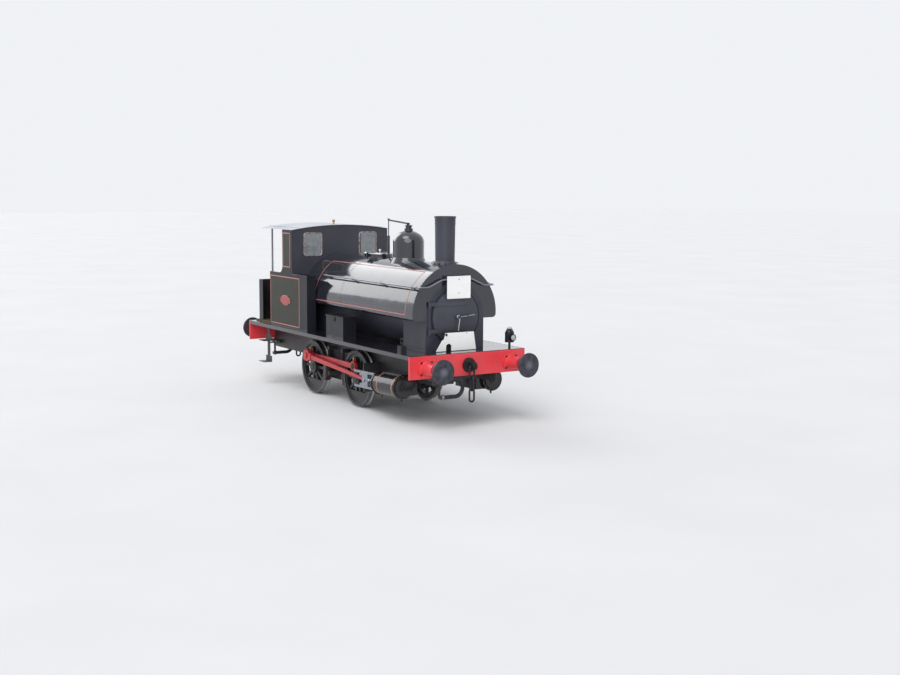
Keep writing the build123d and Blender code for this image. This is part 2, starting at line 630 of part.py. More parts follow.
# Brake blocks against the inner sides of the wheels, held off the treads
BLOCK_GAP = 8.0
BLOCK_T = 62.0
BLOCK_Y = (WHEEL_BACK + 38.0, WHEEL_FACE - 4.0)
blocks = []
for axle_x, side in ((DRIVER_X, 1), (LEADING_X, -1)):
    inner_r = WHEEL_R + BLOCK_GAP
    ring = Cylinder(inner_r + BLOCK_T, BLOCK_Y[1] - BLOCK_Y[0]) - Cylinder(inner_r, TYRE_W * 2)
    ring = Pos(axle_x, (BLOCK_Y[0] + BLOCK_Y[1]) / 2, AXLE_Z) * Rot(90, 0, 0) * ring
    block = ring & box(
        axle_x, axle_x + side * (inner_r + BLOCK_T), *BLOCK_Y, AXLE_Z - 210, AXLE_Z + 130
    )
    blocks += [block, other_side(block)]
save("brake_blocks", Compound(children=blocks))

# Brake hangers, cross beams, pull rods and shaft
HANGER_Y = (WHEEL_BACK + 52.0, WHEEL_FACE - 20.0)
PULL_ROD_Y = 545.0
rigging = None
for axle_x, side in ((DRIVER_X, 1), (LEADING_X, -1)):
    block_x = axle_x + side * (WHEEL_R + BLOCK_GAP + BLOCK_T)
    hanger = box(block_x, block_x + side * 22, *HANGER_Y, AXLE_Z - 90, AXLE_Z + 440)
    hanger += box(block_x, block_x + side * 60, FRAME_OUT, HANGER_Y[1], AXLE_Z + 400, AXLE_Z + 470)
    beam_z = AXLE_Z - 60
    cross = box(block_x + side * 22, block_x + side * 62, -HANGER_Y[1], HANGER_Y[1], beam_z - 45, beam_z + 45)
    cross += hanger + other_side(hanger)
    rigging = cross if rigging is None else rigging + cross
rear_beam_x = DRIVER_X + WHEEL_R + BLOCK_GAP + BLOCK_T + 40
front_beam_x = LEADING_X - WHEEL_R - BLOCK_GAP - BLOCK_T - 40
for side in (-1, 1):
    rigging += rod_x(20, rear_beam_x, front_beam_x, side * PULL_ROD_Y, AXLE_Z - 60)
save("brake_rigging", rigging)

# Running plate: one sheet with an opening over the boiler and firebox, and its valances
OPENING_FRONT = FRONT_X - SMOKEBOX_L
plate = box(-BEAM_FACE, BEAM_FACE, -PLATE_HALF_W, PLATE_HALF_W, PLATE_UNDER, PLATE_TOP)
opening_half = FRAME_OUT - FRAME_T
plate -= box(BACKHEAD_X - 20, OPENING_FRONT, -opening_half, opening_half, PLATE_UNDER - 1, PLATE_TOP + 1)
for side in (-1, 1):
    plate += box(
        -FRAME_END, FRAME_END, side * (PLATE_HALF_W - 10), side * PLATE_HALF_W,
        PLATE_UNDER - VALANCE_DEPTH, PLATE_UNDER,
    )
save("running_plate", plate)

# Boiler barrel and firebox as one pressure vessel, with the backhead inside the cab
FIREBOX_BASE = RAIL + FIREBOX_BASE_RISE
boiler = rod_x(BOILER_R, FIREBOX_FRONT - 20, OPENING_FRONT, 0, BOILER_Z)
FIREBOX_R = FIREBOX_HALF_W
firebox = rod_x(FIREBOX_R, BACKHEAD_X, FIREBOX_FRONT, 0, BOILER_Z)
firebox += box(BACKHEAD_X, FIREBOX_FRONT, -FIREBOX_HALF_W, FIREBOX_HALF_W, FIREBOX_BASE, BOILER_Z)
firebox = fillet(
    firebox.faces().sort_by(Axis.X)[0].edges().filter_by(GeomType.CIRCLE), 40
)
FIREHOLE_Z = PLATE_TOP + 420.0
firebox -= rod_x(150, BACKHEAD_X - 10, BACKHEAD_X + 180, 0, FIREHOLE_Z)
FIREDOOR_HINGE_Y = -205.0
FIREDOOR_X = BACKHEAD_X - 1.0
hinge_post = rod_z(9, FIREHOLE_Z - 160, FIREHOLE_Z + 160, FIREDOOR_X - 24, FIREDOOR_HINGE_Y)
for z in (-150, 150):
    hinge_post += box(
        FIREDOOR_X - 36, BACKHEAD_X, FIREDOOR_HINGE_Y - 14, FIREDOOR_HINGE_Y + 14,
        FIREHOLE_Z + z - 10, FIREHOLE_Z + z + 10,
    )
save("boiler", boiler + firebox + hinge_post)

# Ashpan under the firebox, arched over the driving axle
ASHPAN_LOW = RAIL + 300.0
ASHPAN_HALF_W = FIREBOX_HALF_W - 60.0
ASHPAN_FRONT = -500.0
ashpan_outline = [
    (BACKHEAD_X + 10, FIREBOX_BASE), (BACKHEAD_X + 10, FIREBOX_BASE - 120),
    (DRIVER_X - 330, ASHPAN_LOW + 120), (DRIVER_X - 130, ASHPAN_LOW + 120),
    (DRIVER_X - 130, AXLE_Z + 150), (DRIVER_X + 130, AXLE_Z + 150),
    (DRIVER_X + 130, ASHPAN_LOW), (ASHPAN_FRONT, ASHPAN_LOW), (ASHPAN_FRONT, FIREBOX_BASE),
]
save("ashpan", slab_xz(ashpan_outline, -ASHPAN_HALF_W, ASHPAN_HALF_W))

# Smokebox: a drum with straight sides down to the running plate
smokebox = rod_x(SMOKEBOX_R, OPENING_FRONT, FRONT_X, 0, BOILER_Z)
smokebox += box(OPENING_FRONT, FRONT_X, -SMOKEBOX_R, SMOKEBOX_R, PLATE_TOP, BOILER_Z)
smokebox -= box(OPENING_FRONT - 1, FRONT_X + 1, -SMOKEBOX_R, SMOKEBOX_R, 0, PLATE_TOP)
HINGE_X = FRONT_X + 34.0
STRAP_RISE = 235.0
for side in (-1, 1):
    strap_z = BOILER_Z + side * STRAP_RISE
    smokebox += box(FRONT_X, HINGE_X - 16, DOOR_HINGE_Y - 22, DOOR_HINGE_Y + 22, strap_z - 70, strap_z - 36)
    smokebox += rod_z(22, strap_z - 70, strap_z - 36, HINGE_X, DOOR_HINGE_Y)
smokebox += rod_z(11, BOILER_Z - STRAP_RISE - 70, BOILER_Z + STRAP_RISE + 46, HINGE_X, DOOR_HINGE_Y)
save("smokebox", smokebox)

# Smokebox door: a dished plate with two strap hinges, a centre dart and its two handles
DOOR_BACK = FRONT_X + SEAT
RIM_X = DOOR_BACK + DOOR_RIM_T
SPHERE_R = (DOOR_R**2 + DOOR_BULGE**2) / (2 * DOOR_BULGE)


def dished(grown):
    """The door's turned form: a flat back, a rim and a domed front, thickened forwards."""
    half = DOOR_R / 2
    crown = RIM_X + grown + DOOR_BULGE
    between = (crown - SPHERE_R + sqrt(SPHERE_R**2 - half**2), half)
    outline = Polyline((crown, 0), (DOOR_BACK, 0), (DOOR_BACK, DOOR_R), (RIM_X + grown, DOOR_R))
    outline += ThreePointArc((RIM_X + grown, DOOR_R), between, (crown, 0))
    return Pos(0, 0, BOILER_Z) * revolve(make_face(outline), axis=Axis.X)


door = dished(0)
for side in (-1, 1):
    strap_z = BOILER_Z + side * STRAP_RISE
    strap = dished(12) & box(FRONT_X, FRONT_X + 300, -DOOR_R, 180, strap_z - 34, strap_z + 34)
    door += strap
    arm = box(
        HINGE_X - 8, HINGE_X + 20, DOOR_HINGE_Y, -DOOR_R + 90, strap_z - 34, strap_z + 34
    )
    arm += rod_z(24, strap_z - 34, strap_z + 34, HINGE_X, DOOR_HINGE_Y)
    arm -= rod_z(11 + SEAT, strap_z - 35, strap_z + 35, HINGE_X, DOOR_HINGE_Y)
    door += arm
dart_x = DOOR_BACK + DOOR_RIM_T + DOOR_BULGE
door += rod_x(42, dart_x - 20, dart_x + 22, 0, BOILER_Z)
door += rod_x(20, dart_x, dart_x + 80, 0, BOILER_Z)
HANDLE_R = 12.0
for x, angle, stub, reach in ((dart_x + 38, 5.0, 55, 330), (dart_x + 66, 262.0, 0, 235)):
    door += Pos(x, 0, BOILER_Z) * Rot(angle, 0, 0) * rod_y(HANDLE_R, -stub, reach, 0, 0)
board_x = HINGE_X + 51.0
board_iron_y = 20.0
BOARD_IRON_Z = (BOILER_Z + 400.0, BOILER_Z + 440.0)
door += box(DOOR_BACK + 10, board_x, board_iron_y - 20, board_iron_y + 20, *BOARD_IRON_Z)
LOWER_BOARD_X = FRONT_X + 181.0
BOARD_STUDS_Y = (-250.0, 120.0)
BOARD_STUDS_Z = BOILER_Z - 275.0
for y in BOARD_STUDS_Y:
    door += rod_x(9, DOOR_BACK + 30, LOWER_BOARD_X, y, BOARD_STUDS_Z)
save("smokebox_door", door)

# Two blank boards carried by the door
BOARD_T = 12.0
BOARD_W = 480.0
BOARD_H = 392.0
BOARD_CORNER = 12.0
BOARD_RISE = 520.0           # middle of the upper board above the boiler's centre
board = Pos(board_x + BOARD_T / 2, board_iron_y, BOILER_Z + BOARD_RISE) * Box(BOARD_T, BOARD_W, BOARD_H)
board = fillet(board.edges().filter_by(Axis.X), BOARD_CORNER)
save("headboard", board)
LOWER_BOARD_Y = -90.0
LOWER_BOARD_GAP = 9.0
ARCH_R = 55.0                # round-topped notch in the lower board's foot
ARCH_Y = -156.0
ARCH_SPRING = 70.0
lower_outline = [(-410, 0), (410, 0), (360, 314), (-220, 314), (-250, 205), (-285, 190)]
lower = slab_yz(lower_outline, 0, BOARD_T)
lower -= box(-1, BOARD_T + 1, ARCH_Y - ARCH_R, ARCH_Y + ARCH_R, -1, ARCH_SPRING)
lower -= rod_x(ARCH_R, -1, BOARD_T + 1, ARCH_Y, ARCH_SPRING)
save("lower_board", Pos(LOWER_BOARD_X, LOWER_BOARD_Y, PLATE_TOP + LOWER_BOARD_GAP) * lower)

# Saddle tank: a half round shell over the boiler, with straight skirts
TANK_BASE = RAIL + TANK_BASE_RISE
TANK_BACK = CAB_FRONT_X


def tank_form(radius, x0, x1):
    """The tank's outer form: half round above its centre and straight below."""
    form = rod_x(radius, x0, x1, 0, TANK_Z)
    form -= box(x0 - 1, x1 + 1, -radius - 1, radius + 1, TANK_Z - radius - 1, TANK_Z)
    return form + box(x0, x1, -radius, radius, TANK_BASE, TANK_Z)


tank = tank_form(TANK_R, TANK_BACK, FRONT_X)
lower_edges = tank.edges().filter_by(Axis.X).group_by(Axis.Z)[0]
tank = fillet(lower_edges, TANK_CORNER_R)
for radius, x0, x1 in (
    (BOILER_R + SEAT, TANK_BACK - 1, OPENING_FRONT),
    (SMOKEBOX_R + SEAT, OPENING_FRONT - SEAT, FRONT_X + 1),
):
    tank -= rod_x(radius, x0, x1, 0, BOILER_Z)
    tank -= box(x0, x1, -radius, radius, TANK_BASE - 1, BOILER_Z)
FILLER_TOP = RAIL + FILLER_TOP_RISE
tank += rod_z(FILLER_R, TANK_Z + TANK_R - 120, FILLER_TOP, FILLER_X, 0)
LID_HINGE_Y = -FILLER_R - 46.0
LID_HINGE_Z = FILLER_TOP + 14.0
LID_PIN_R = 9.0
LUG_X = (34.0, 50.0)         # faces of each hinge lug, to either side of the filler's centre
lug_low = FILLER_TOP - 50
for side in (-1, 1):
    near, far = FILLER_X + side * LUG_X[0], FILLER_X + side * LUG_X[1]
    tank += box(near, far, LID_HINGE_Y - 18, 20 - FILLER_R, lug_low, FILLER_TOP - 8)
    tank += box(near, far, LID_HINGE_Y - 18, LID_HINGE_Y + 18, lug_low, LID_HINGE_Z + 14)
tank += rod_x(LID_PIN_R, FILLER_X - LUG_X[1], FILLER_X + LUG_X[1], LID_HINGE_Y, LID_HINGE_Z)
save("saddle_tank", tank)

# Filler lid, hinged on the engine's right
LID_T = 16.0
LID_STRAP_X = LUG_X[0] - 4.0
lid = rod_z(FILLER_R + 14, FILLER_TOP + SEAT, FILLER_TOP + LID_T, FILLER_X, 0)
lid = fillet(lid.edges().group_by(Axis.Z)[-1], 8)
lid += box(
    FILLER_X - LID_STRAP_X, FILLER_X + LID_STRAP_X, LID_HINGE_Y, -60, FILLER_TOP + 1, FILLER_TOP + LID_T + 12
)
lid += rod_x(22, FILLER_X - LID_STRAP_X, FILLER_X + LID_STRAP_X, LID_HINGE_Y, LID_HINGE_Z)
lid -= rod_x(LID_PIN_R + SEAT, FILLER_X - FILLER_R, FILLER_X + FILLER_R, LID_HINGE_Y, LID_HINGE_Z)
lid += rod_z(12, FILLER_TOP + LID_T, FILLER_TOP + LID_T + 34, FILLER_X, 0)
lid += Pos(FILLER_X, 0, FILLER_TOP + LID_T + 46) * Sphere(24)
save("filler_lid", lid)

# Dome casing on the crown of the tank: straight sides, a rounded shoulder and a flatter crown over it
tank_round = rod_x(TANK_R, TANK_BACK, FRONT_X, 0, TANK_Z)
dome_shoulder = RAIL + DOME_TOP_RISE - DOME_CROWN
crown_r = (DOME_R**2 + DOME_CROWN**2 - 2 * DOME_R * DOME_KNUCKLE) / (2 * (DOME_CROWN - DOME_KNUCKLE))
crown_share = crown_r / (crown_r - DOME_KNUCKLE)
meeting = ((DOME_R - DOME_KNUCKLE) * crown_share, (crown_r - DOME_CROWN) * (crown_share - 1))
crown_outline = RadiusArc((DOME_R, 0), meeting, -DOME_KNUCKLE)
crown_outline += RadiusArc(meeting, (0, DOME_CROWN), -crown_r)
crown_outline += Polyline((0, DOME_CROWN), (0, -DOME_CROWN), (DOME_R, -DOME_CROWN), (DOME_R, 0))
crown_face = Plane.XZ * make_face(crown_outline)
dome_form = Pos(DOME_X, 0, dome_shoulder) * revolve(crown_face, axis=Axis.Z)
flare_z = TANK_Z + TANK_R - 80
dome = rod_z(DOME_R, flare_z, dome_shoulder - DOME_CROWN + 1, DOME_X, 0) + dome_form
dome += Pos(DOME_X, 0, flare_z + 60) * Cone(DOME_R + 62, DOME_R, 120)
dome -= tank_round
dome = dome.solids().sort_by(Axis.Z)[-1]
save("dome", dome)

# Safety valve on the dome: column, lever and spring balance down to the tank
DOME_TOP = RAIL + DOME_TOP_RISE
LEVER_Z = DOME_TOP + 122.0
BALANCE_X = DOME_X - 745.0
valve = rod_z(78, DOME_TOP - 30, DOME_TOP + 34, DOME_X, 0)
valve += rod_z(56, DOME_TOP + 34, DOME_TOP + 96, DOME_X, 0)
valve += rod_z(70, DOME_TOP + 76, DOME_TOP + 92, DOME_X, 0)
valve += box(DOME_X - 40, DOME_X - 16, -20, 20, DOME_TOP + 96, LEVER_Z + 18)
valve -= dome_form
lever_slope = degrees(atan2(48.0, 745.0))
lever = Rot(0, lever_slope, 0) * box(-765, 30, -8, 8, -14, 14)
valve += Pos(DOME_X, 0, LEVER_Z) * lever
BALANCE_TOP = LEVER_Z + 48.0
valve += rod_z(9, TANK_Z + TANK_R - 10, BALANCE_TOP + 30, BALANCE_X, 0)
valve += rod_z(25, TANK_Z + TANK_R + 70, TANK_Z + TANK_R + 410, BALANCE_X, 0)
valve += rod_z(20, BALANCE_TOP + 8, BALANCE_TOP + 26, BALANCE_X, 0)
valve += rod_z(40, TANK_Z + TANK_R - 20, TANK_Z + TANK_R + 16, BALANCE_X, 0)
valve -= tank_round
save("safety_valve", valve)

# Chimney: a plain stovepipe with a flared base and a rolled lip
CHIMNEY_TOP = RAIL + CHIMNEY_TOP_RISE
chimney_low = TANK_Z + TANK_R - 60
chimney = Pos(CHIMNEY_X, 0, (chimney_low + CHIMNEY_TOP) / 2) * Cone(
    CHIMNEY_R, CHIMNEY_R + 12, CHIMNEY_TOP - chimney_low
)
chimney += rod_z(CHIMNEY_R + 22, CHIMNEY_TOP - 34, CHIMNEY_TOP, CHIMNEY_X, 0)
chimney += Pos(CHIMNEY_X, 0, chimney_low + 52) * Cone(CHIMNEY_R + 78, CHIMNEY_R + 2, 104)
chimney -= rod_z(CHIMNEY_R - CHIMNEY_WALL, chimney_low - 1, CHIMNEY_TOP + 1, CHIMNEY_X, 0)
chimney -= tank_round
chimney = chimney.solids().sort_by(Axis.Z)[-1]
save("chimney", chimney)

# Handrail along both sides of the tank and up over the smokebox door
HANDRAIL_Z = RAIL + HANDRAIL_RISE
rail_rise = HANDRAIL_Z - TANK_Z
rail_y = sqrt(TANK_R**2 - rail_rise**2) + HANDRAIL_OFF
RAIL_BACK = -600.0
rail_front = FRONT_X + HANDRAIL_FRONT_OFF
crest_z = HANDRAIL_Z + 120.0
half_rail = [
    (RAIL_BACK, rail_y, HANDRAIL_Z), (rail_front, rail_y, HANDRAIL_Z),
    (rail_front, 570.0, HANDRAIL_Z), (rail_front, 300.0, crest_z),
]
rail_points = half_rail + [(x, -y, z) for x, y, z in reversed(half_rail)]
handrail = tube(rail_points, HANDRAIL_R, [90.0, 200.0, 200.0, 200.0, 200.0, 90.0])
radius_out = sqrt(rail_y**2 + rail_rise**2)
lean = degrees(atan2(rail_y, rail_rise))
RAIL_POST_PITCH = 1080.0
FIRST_POST_X = RAIL_BACK + 100.0
post_places = [FIRST_POST_X + index * RAIL_POST_PITCH for index in range(3)] + [FRONT_X - 135.0]
for x in post_places:
    for side in (-1, 1):
        post = Pos(x, 0, TANK_Z) * Rot(-side * lean, 0, 0) * rod_z(10, TANK_R, radius_out, 0, 0)
        handrail += post
FRONT_POSTS = ((640.0, HANDRAIL_Z), (210.0, crest_z))
for y, z in FRONT_POSTS:
    for side in (-1, 1):
        handrail += rod_x(10, FRONT_X, rail_front, side * y, z)
save("handrails", handrail)

# Cab roof: one cambered sheet
EAVES_Z = RAIL + ROOF_EAVES_RISE
ROOF_R = (ROOF_HALF_W**2 + ROOF_CAMBER**2) / (2 * ROOF_CAMBER)
ROOF_CENTRE_Z = EAVES_Z + ROOF_CAMBER - ROOF_R


def under_roof(drop, x0, x1, half_w, low):
    """Everything below the roof sheet's top, lowered by a drop, within a width."""
    solid = rod_x(ROOF_R - drop, x0, x1, 0, ROOF_CENTRE_Z)
    return solid & box(x0, x1, -half_w, half_w, low, EAVES_Z + ROOF_CAMBER + 1)


roof = under_roof(0, ROOF_BACK, ROOF_FRONT, ROOF_HALF_W, EAVES_Z - 60)
roof -= rod_x(ROOF_R - SHEET, ROOF_BACK - 1, ROOF_FRONT + 1, 0, ROOF_CENTRE_Z)
save("cab_roof", roof)

# Cab front with two round-cornered windows, cut round the firebox
cab_front = under_roof(SHEET, CAB_FRONT_X - SHEET, CAB_FRONT_X, CAB_HALF_W - SHEET, PLATE_TOP)
cab_front -= rod_x(FIREBOX_R + SEAT, CAB_FRONT_X - 20, CAB_FRONT_X + 20, 0, BOILER_Z)
cab_front -= box(
    CAB_FRONT_X - 20, CAB_FRONT_X + 20, -FIREBOX_HALF_W - SEAT, FIREBOX_HALF_W + SEAT, 0, BOILER_Z
)
WINDOW_LOW = RAIL + WINDOW_RISE[0]
WINDOW_HIGH = RAIL + WINDOW_RISE[1]


def window(grow, x0, x1):
    """The window opening with its rounded corners, on the left."""
    pane = box(
        x0, x1, WINDOW_Y[0] - grow, WINDOW_Y[1] + grow, WINDOW_LOW - grow, WINDOW_HIGH + grow
    )
    return fillet(pane.edges().filter_by(Axis.X), WINDOW_CORNER)


window_cut = window(0, CAB_FRONT_X - 20, CAB_FRONT_X + 20)
cab_front -= window_cut
cab_front -= other_side(window_cut)
save("cab_front", cab_front)
GLASS_T = 5.0
glass_x = CAB_FRONT_X - SHEET - SEAT
save("window_glass", both_sides(window(14, glass_x - GLASS_T, glass_x)))

# Cab side sheets: full height ahead of the doorway, waist height beside it
door_r = 150.0
upper_z = EAVES_Z - 20
side_sheet = box(SIDE_BACK, CAB_FRONT_X, CAB_HALF_W - SHEET, CAB_HALF_W, PLATE_TOP, WAIST_Z)
side_sheet += box(SIDE_UPPER_BACK, CAB_FRONT_X, CAB_HALF_W - SHEET, CAB_HALF_W, WAIST_Z - 1, upper_z)
corner = box(
    SIDE_UPPER_BACK - door_r, SIDE_UPPER_BACK, CAB_HALF_W - SHEET, CAB_HALF_W, WAIST_Z - 1, WAIST_Z + door_r
)
corner -= rod_y(door_r, 0, 2 * CAB_HALF_W, SIDE_UPPER_BACK - door_r, WAIST_Z + door_r)
side_sheet += corner
roof_under = under_roof(SHEET, SIDE_BACK, CAB_FRONT_X, ROOF_HALF_W, EAVES_Z - 100)
wedge = box(SIDE_UPPER_BACK, CAB_FRONT_X, CAB_HALF_W - SHEET, CAB_HALF_W, upper_z - 1, EAVES_Z + 40)
side_sheet += wedge & roof_under
save("cab_sides", both_sides(side_sheet))

# Side bunkers ahead of the cab, open at the top
bunker = box(CAB_FRONT_X, BUNKER_FRONT, BUNKER_INNER, CAB_HALF_W, PLATE_TOP, WAIST_Z)
bunker -= box(
    CAB_FRONT_X + SHEET, BUNKER_FRONT - SHEET, BUNKER_INNER + SHEET, CAB_HALF_W - SHEET,
    PLATE_TOP + SHEET, WAIST_Z + 1,
)
save("side_bunkers", both_sides(bunker))

# Cab floor boards, and the low back sheet with its two returns
floor = box(-FRAME_END, BACKHEAD_X - SEAT, -CAB_HALF_W + 40, CAB_HALF_W - 40, PLATE_TOP, PLATE_TOP + FLOOR_T)
BACK_TOP = RAIL + BACK_SHEET_RISE
back = box(
    BACK_SHEET_X - SHEET, BACK_SHEET_X + BACK_RETURN, -BACK_HALF_W, BACK_HALF_W, PLATE_TOP + FLOOR_T, BACK_TOP
)
back -= box(
    BACK_SHEET_X, BACK_SHEET_X + BACK_RETURN + 1, -BACK_HALF_W + SHEET, BACK_HALF_W - SHEET, 0, 9000
)
save("cab_floor", floor)
save("cab_back", back)

# Roof pillars behind the side sheets, from the floor to the roof
PILLAR_R = 19.0
PILLAR_X = SIDE_BACK - PILLAR_R - 2.0
PILLAR_Y = CAB_HALF_W - 40 - PILLAR_R - 4
pillar = rod_z(PILLAR_R, PLATE_TOP + FLOOR_T, EAVES_Z + 60, PILLAR_X, PILLAR_Y)
pillar &= rod_x(ROOF_R - SHEET, ROOF_BACK, ROOF_FRONT, 0, ROOF_CENTRE_Z)
pillar += rod_z(PILLAR_R + 18, PLATE_TOP + FLOOR_T, PLATE_TOP + FLOOR_T + 14, PILLAR_X, PILLAR_Y)
save("cab_pillars", both_sides(pillar))

# Fittings on the backhead, the reversing lever and the handbrake column
REGULATOR_Z = BOILER_Z + 330.0
STEAM_GAUGE_Z = BOILER_Z + 545.0
STEAM_GAUGE_R = 85.0
GAUGE_GLASS_Y = 260.0
GAUGE_GLASS_Z = (BOILER_Z + 60.0, BOILER_Z + 360.0)
REVERSER_X = BACKHEAD_X - 150.0
REVERSER_Y = 320.0 - CAB_HALF_W
REVERSER_T = 12.0
REVERSER_RISE = 420.0
LEVER_TOP_RISE = 900.0
HANDBRAKE_X = BACKHEAD_X - 200.0
HANDBRAKE_Y = CAB_HALF_W - 320.0
HANDBRAKE_RISE = 900.0
CRANK_REACH = 140.0
floor_z = PLATE_TOP + FLOOR_T
fittings = []
regulator = rod_x(34, BACKHEAD_X - 60, BACKHEAD_X, 0, REGULATOR_Z)
regulator += Pos(BACKHEAD_X - 48, 0, REGULATOR_Z) * Rot(-35, 0, 0) * rod_z(12, -330, 60, 0, 0)
fittings.append(regulator)
steam_gauge = rod_x(STEAM_GAUGE_R, BACKHEAD_X - 70, BACKHEAD_X - 40, 0, STEAM_GAUGE_Z)
steam_gauge += rod_x(16, BACKHEAD_X - 40, BACKHEAD_X, 0, STEAM_GAUGE_Z - 50)
fittings.append(steam_gauge)
glass_low, glass_high = GAUGE_GLASS_Z
for side in (-1, 1):
    gauge_glass = rod_z(12, glass_low, glass_high, BACKHEAD_X - 46, side * GAUGE_GLASS_Y)
    for z in (glass_low + 20, glass_high - 20):
        gauge_glass += rod_x(18, BACKHEAD_X - 62, BACKHEAD_X, side * GAUGE_GLASS_Y, z)
    fittings.append(gauge_glass)
sector_top = floor_z + REVERSER_RISE
sector_outline = [
    (REVERSER_X - 90, floor_z), (REVERSER_X + 90, floor_z), (REVERSER_X + 120, sector_top),
    (REVERSER_X - 120, sector_top),
]
reverser = slab_xz(sector_outline, REVERSER_Y, REVERSER_Y + REVERSER_T)
lever_y = REVERSER_Y + REVERSER_T
reverser += box(
    REVERSER_X - 12, REVERSER_X + 12, lever_y, lever_y + REVERSER_T, floor_z + 120, floor_z + LEVER_TOP_RISE
)
reverser += rod_z(
    15, floor_z + LEVER_TOP_RISE - 20, floor_z + LEVER_TOP_RISE + 110, REVERSER_X, lever_y + REVERSER_T / 2
)
fittings.append(reverser)
handle_z = floor_z + HANDBRAKE_RISE
handbrake = rod_z(34, floor_z, handle_z, HANDBRAKE_X, HANDBRAKE_Y)
handbrake += rod_z(70, floor_z, floor_z + 24, HANDBRAKE_X, HANDBRAKE_Y)
handbrake += rod_y(13, HANDBRAKE_Y - CRANK_REACH, HANDBRAKE_Y + CRANK_REACH, HANDBRAKE_X, handle_z + 12)
handbrake += rod_z(12, handle_z, handle_z + 110, HANDBRAKE_X, HANDBRAKE_Y - CRANK_REACH)
fittings.append(handbrake)
save("cab_fittings", Compound(children=fittings))

# Firehole door, hinged on its right edge
firedoor = box(FIREDOOR_X - 14, FIREDOOR_X, -172, 172, FIREHOLE_Z - 165, FIREHOLE_Z + 165)
firedoor = fillet(firedoor.edges().filter_by(Axis.X), 60)
for z in (-100, 100):
    firedoor += box(
        FIREDOOR_X - 24, FIREDOOR_X - 12, FIREDOOR_HINGE_Y, 60, FIREHOLE_Z + z - 22, FIREHOLE_Z + z + 22
    )
    firedoor += rod_z(18, FIREHOLE_Z + z - 22, FIREHOLE_Z + z + 22, FIREDOOR_X - 24, FIREDOOR_HINGE_Y)
firedoor -= rod_z(9 + SEAT, 0, 4000, FIREDOOR_X - 24, FIREDOOR_HINGE_Y)
firedoor += box(FIREDOOR_X - 60, FIREDOOR_X - 12, 110, 128, FIREHOLE_Z - 12, FIREHOLE_Z + 12)
save("firehole_door", firedoor)

# Tool boxes on the running plate beside the boiler, each with a lid that overhangs it
TOOL_BOX_X = (0.0, 690.0)
TOOL_BOX_Y = (790.0, 1060.0)
TOOL_BOX_H = 400.0
TOOL_LID_T = 20.0
TOOL_LID_OVER = 12.0
box_back, box_front = TOOL_BOX_X
box_in, box_out = TOOL_BOX_Y
lid_low = PLATE_TOP + TOOL_BOX_H
tool_box = box(box_back, box_front, box_in, box_out, PLATE_TOP, lid_low)
tool_box += box(
    box_back - TOOL_LID_OVER, box_front + TOOL_LID_OVER, box_in - TOOL_LID_OVER, box_out + TOOL_LID_OVER,
    lid_low, lid_low + TOOL_LID_T,
)
save("tool_boxes", both_sides(tool_box))

# Oil box beside the smokebox on the right, with a filler and a ring to lift it by
OIL_BOX_X = FRONT_X - 150.0
OIL_BOX_Y = 985.0
OIL_BOX_H = 110.0
OIL_RING_R = 44.0
oil_box_top = PLATE_TOP + OIL_BOX_H
oil_box = Pos(OIL_BOX_X, OIL_BOX_Y, PLATE_TOP + OIL_BOX_H / 2) * Box(130, 110, OIL_BOX_H)
oil_box += rod_z(14, oil_box_top, oil_box_top + 40, OIL_BOX_X, OIL_BOX_Y)
oil_box += Pos(OIL_BOX_X, OIL_BOX_Y, oil_box_top + 80) * Rot(90, 0, 0) * Torus(OIL_RING_R, 9)
save("oil_boxes", other_side(oil_box))

# Rear steps: a hanger plate with two treads on each side, out to the running plate's edge
STEP_X = ROOF_BACK + 105.0
STEP_DEPTH = 177.0
STEP_T = 10.0
STEP_HALF_L = 140.0
STEP_LIP = 120.0
STEP_RISES = (440.0, 880.0)
step_in = PLATE_HALF_W - STEP_DEPTH
step = box(STEP_X - 60, STEP_X + 60, step_in, step_in + STEP_T, RAIL + STEP_RISES[0] - STEP_T, PLATE_UNDER)
for rise in STEP_RISES:
    tread = RAIL + rise
    step += box(STEP_X - STEP_HALF_L, STEP_X + STEP_HALF_L, step_in, PLATE_HALF_W, tread, tread + STEP_T)
    step += box(
        STEP_X - STEP_HALF_L, STEP_X + STEP_HALF_L, step_in, step_in + STEP_T, tread, tread + STEP_LIP
    )
save("rear_steps", both_sides(step))

# Lamp on its iron at the left of the front
LAMP_X = BEAM_FACE - 100.0
LAMP_Y = 925.0
LAMP_R = 82.0
LAMP_LOW = PLATE_TOP + 112.0
LAMP_BODY_H = 178.0
LAMP_CAP_H = 44.0
LENS_R = 62.0
cap_low = LAMP_LOW + LAMP_BODY_H
lamp = box(LAMP_X - 6, LAMP_X + 6, LAMP_Y - 22, LAMP_Y + 22, PLATE_TOP, LAMP_LOW + 18)
lamp += rod_z(LAMP_R, LAMP_LOW, cap_low, LAMP_X, LAMP_Y)
lamp += Pos(LAMP_X, LAMP_Y, cap_low + LAMP_CAP_H / 2) * Cone(LAMP_R, LAMP_CAP_H, LAMP_CAP_H)
lamp += rod_z(LAMP_CAP_H - 4, cap_low + LAMP_CAP_H - 4, cap_low + LAMP_CAP_H + 18, LAMP_X, LAMP_Y)
lamp += rod_x(LENS_R, LAMP_X + 40, LAMP_X + 118, LAMP_Y, LAMP_LOW + LAMP_BODY_H / 2)
save("headlamp", lamp)

# Whistle on the cab roof
WHISTLE_X = ROOF_FRONT - 105.0
WHISTLE_Y = -120.0
whistle_low = EAVES_Z + ROOF_CAMBER
whistle = rod_z(16, whistle_low - 14, whistle_low + 40, WHISTLE_X, WHISTLE_Y)
whistle += rod_z(26, whistle_low + 40, whistle_low + 92, WHISTLE_X, WHISTLE_Y)
whistle -= rod_x(ROOF_R, ROOF_BACK, ROOF_FRONT, 0, ROOF_CENTRE_Z)
save("whistle", whistle)
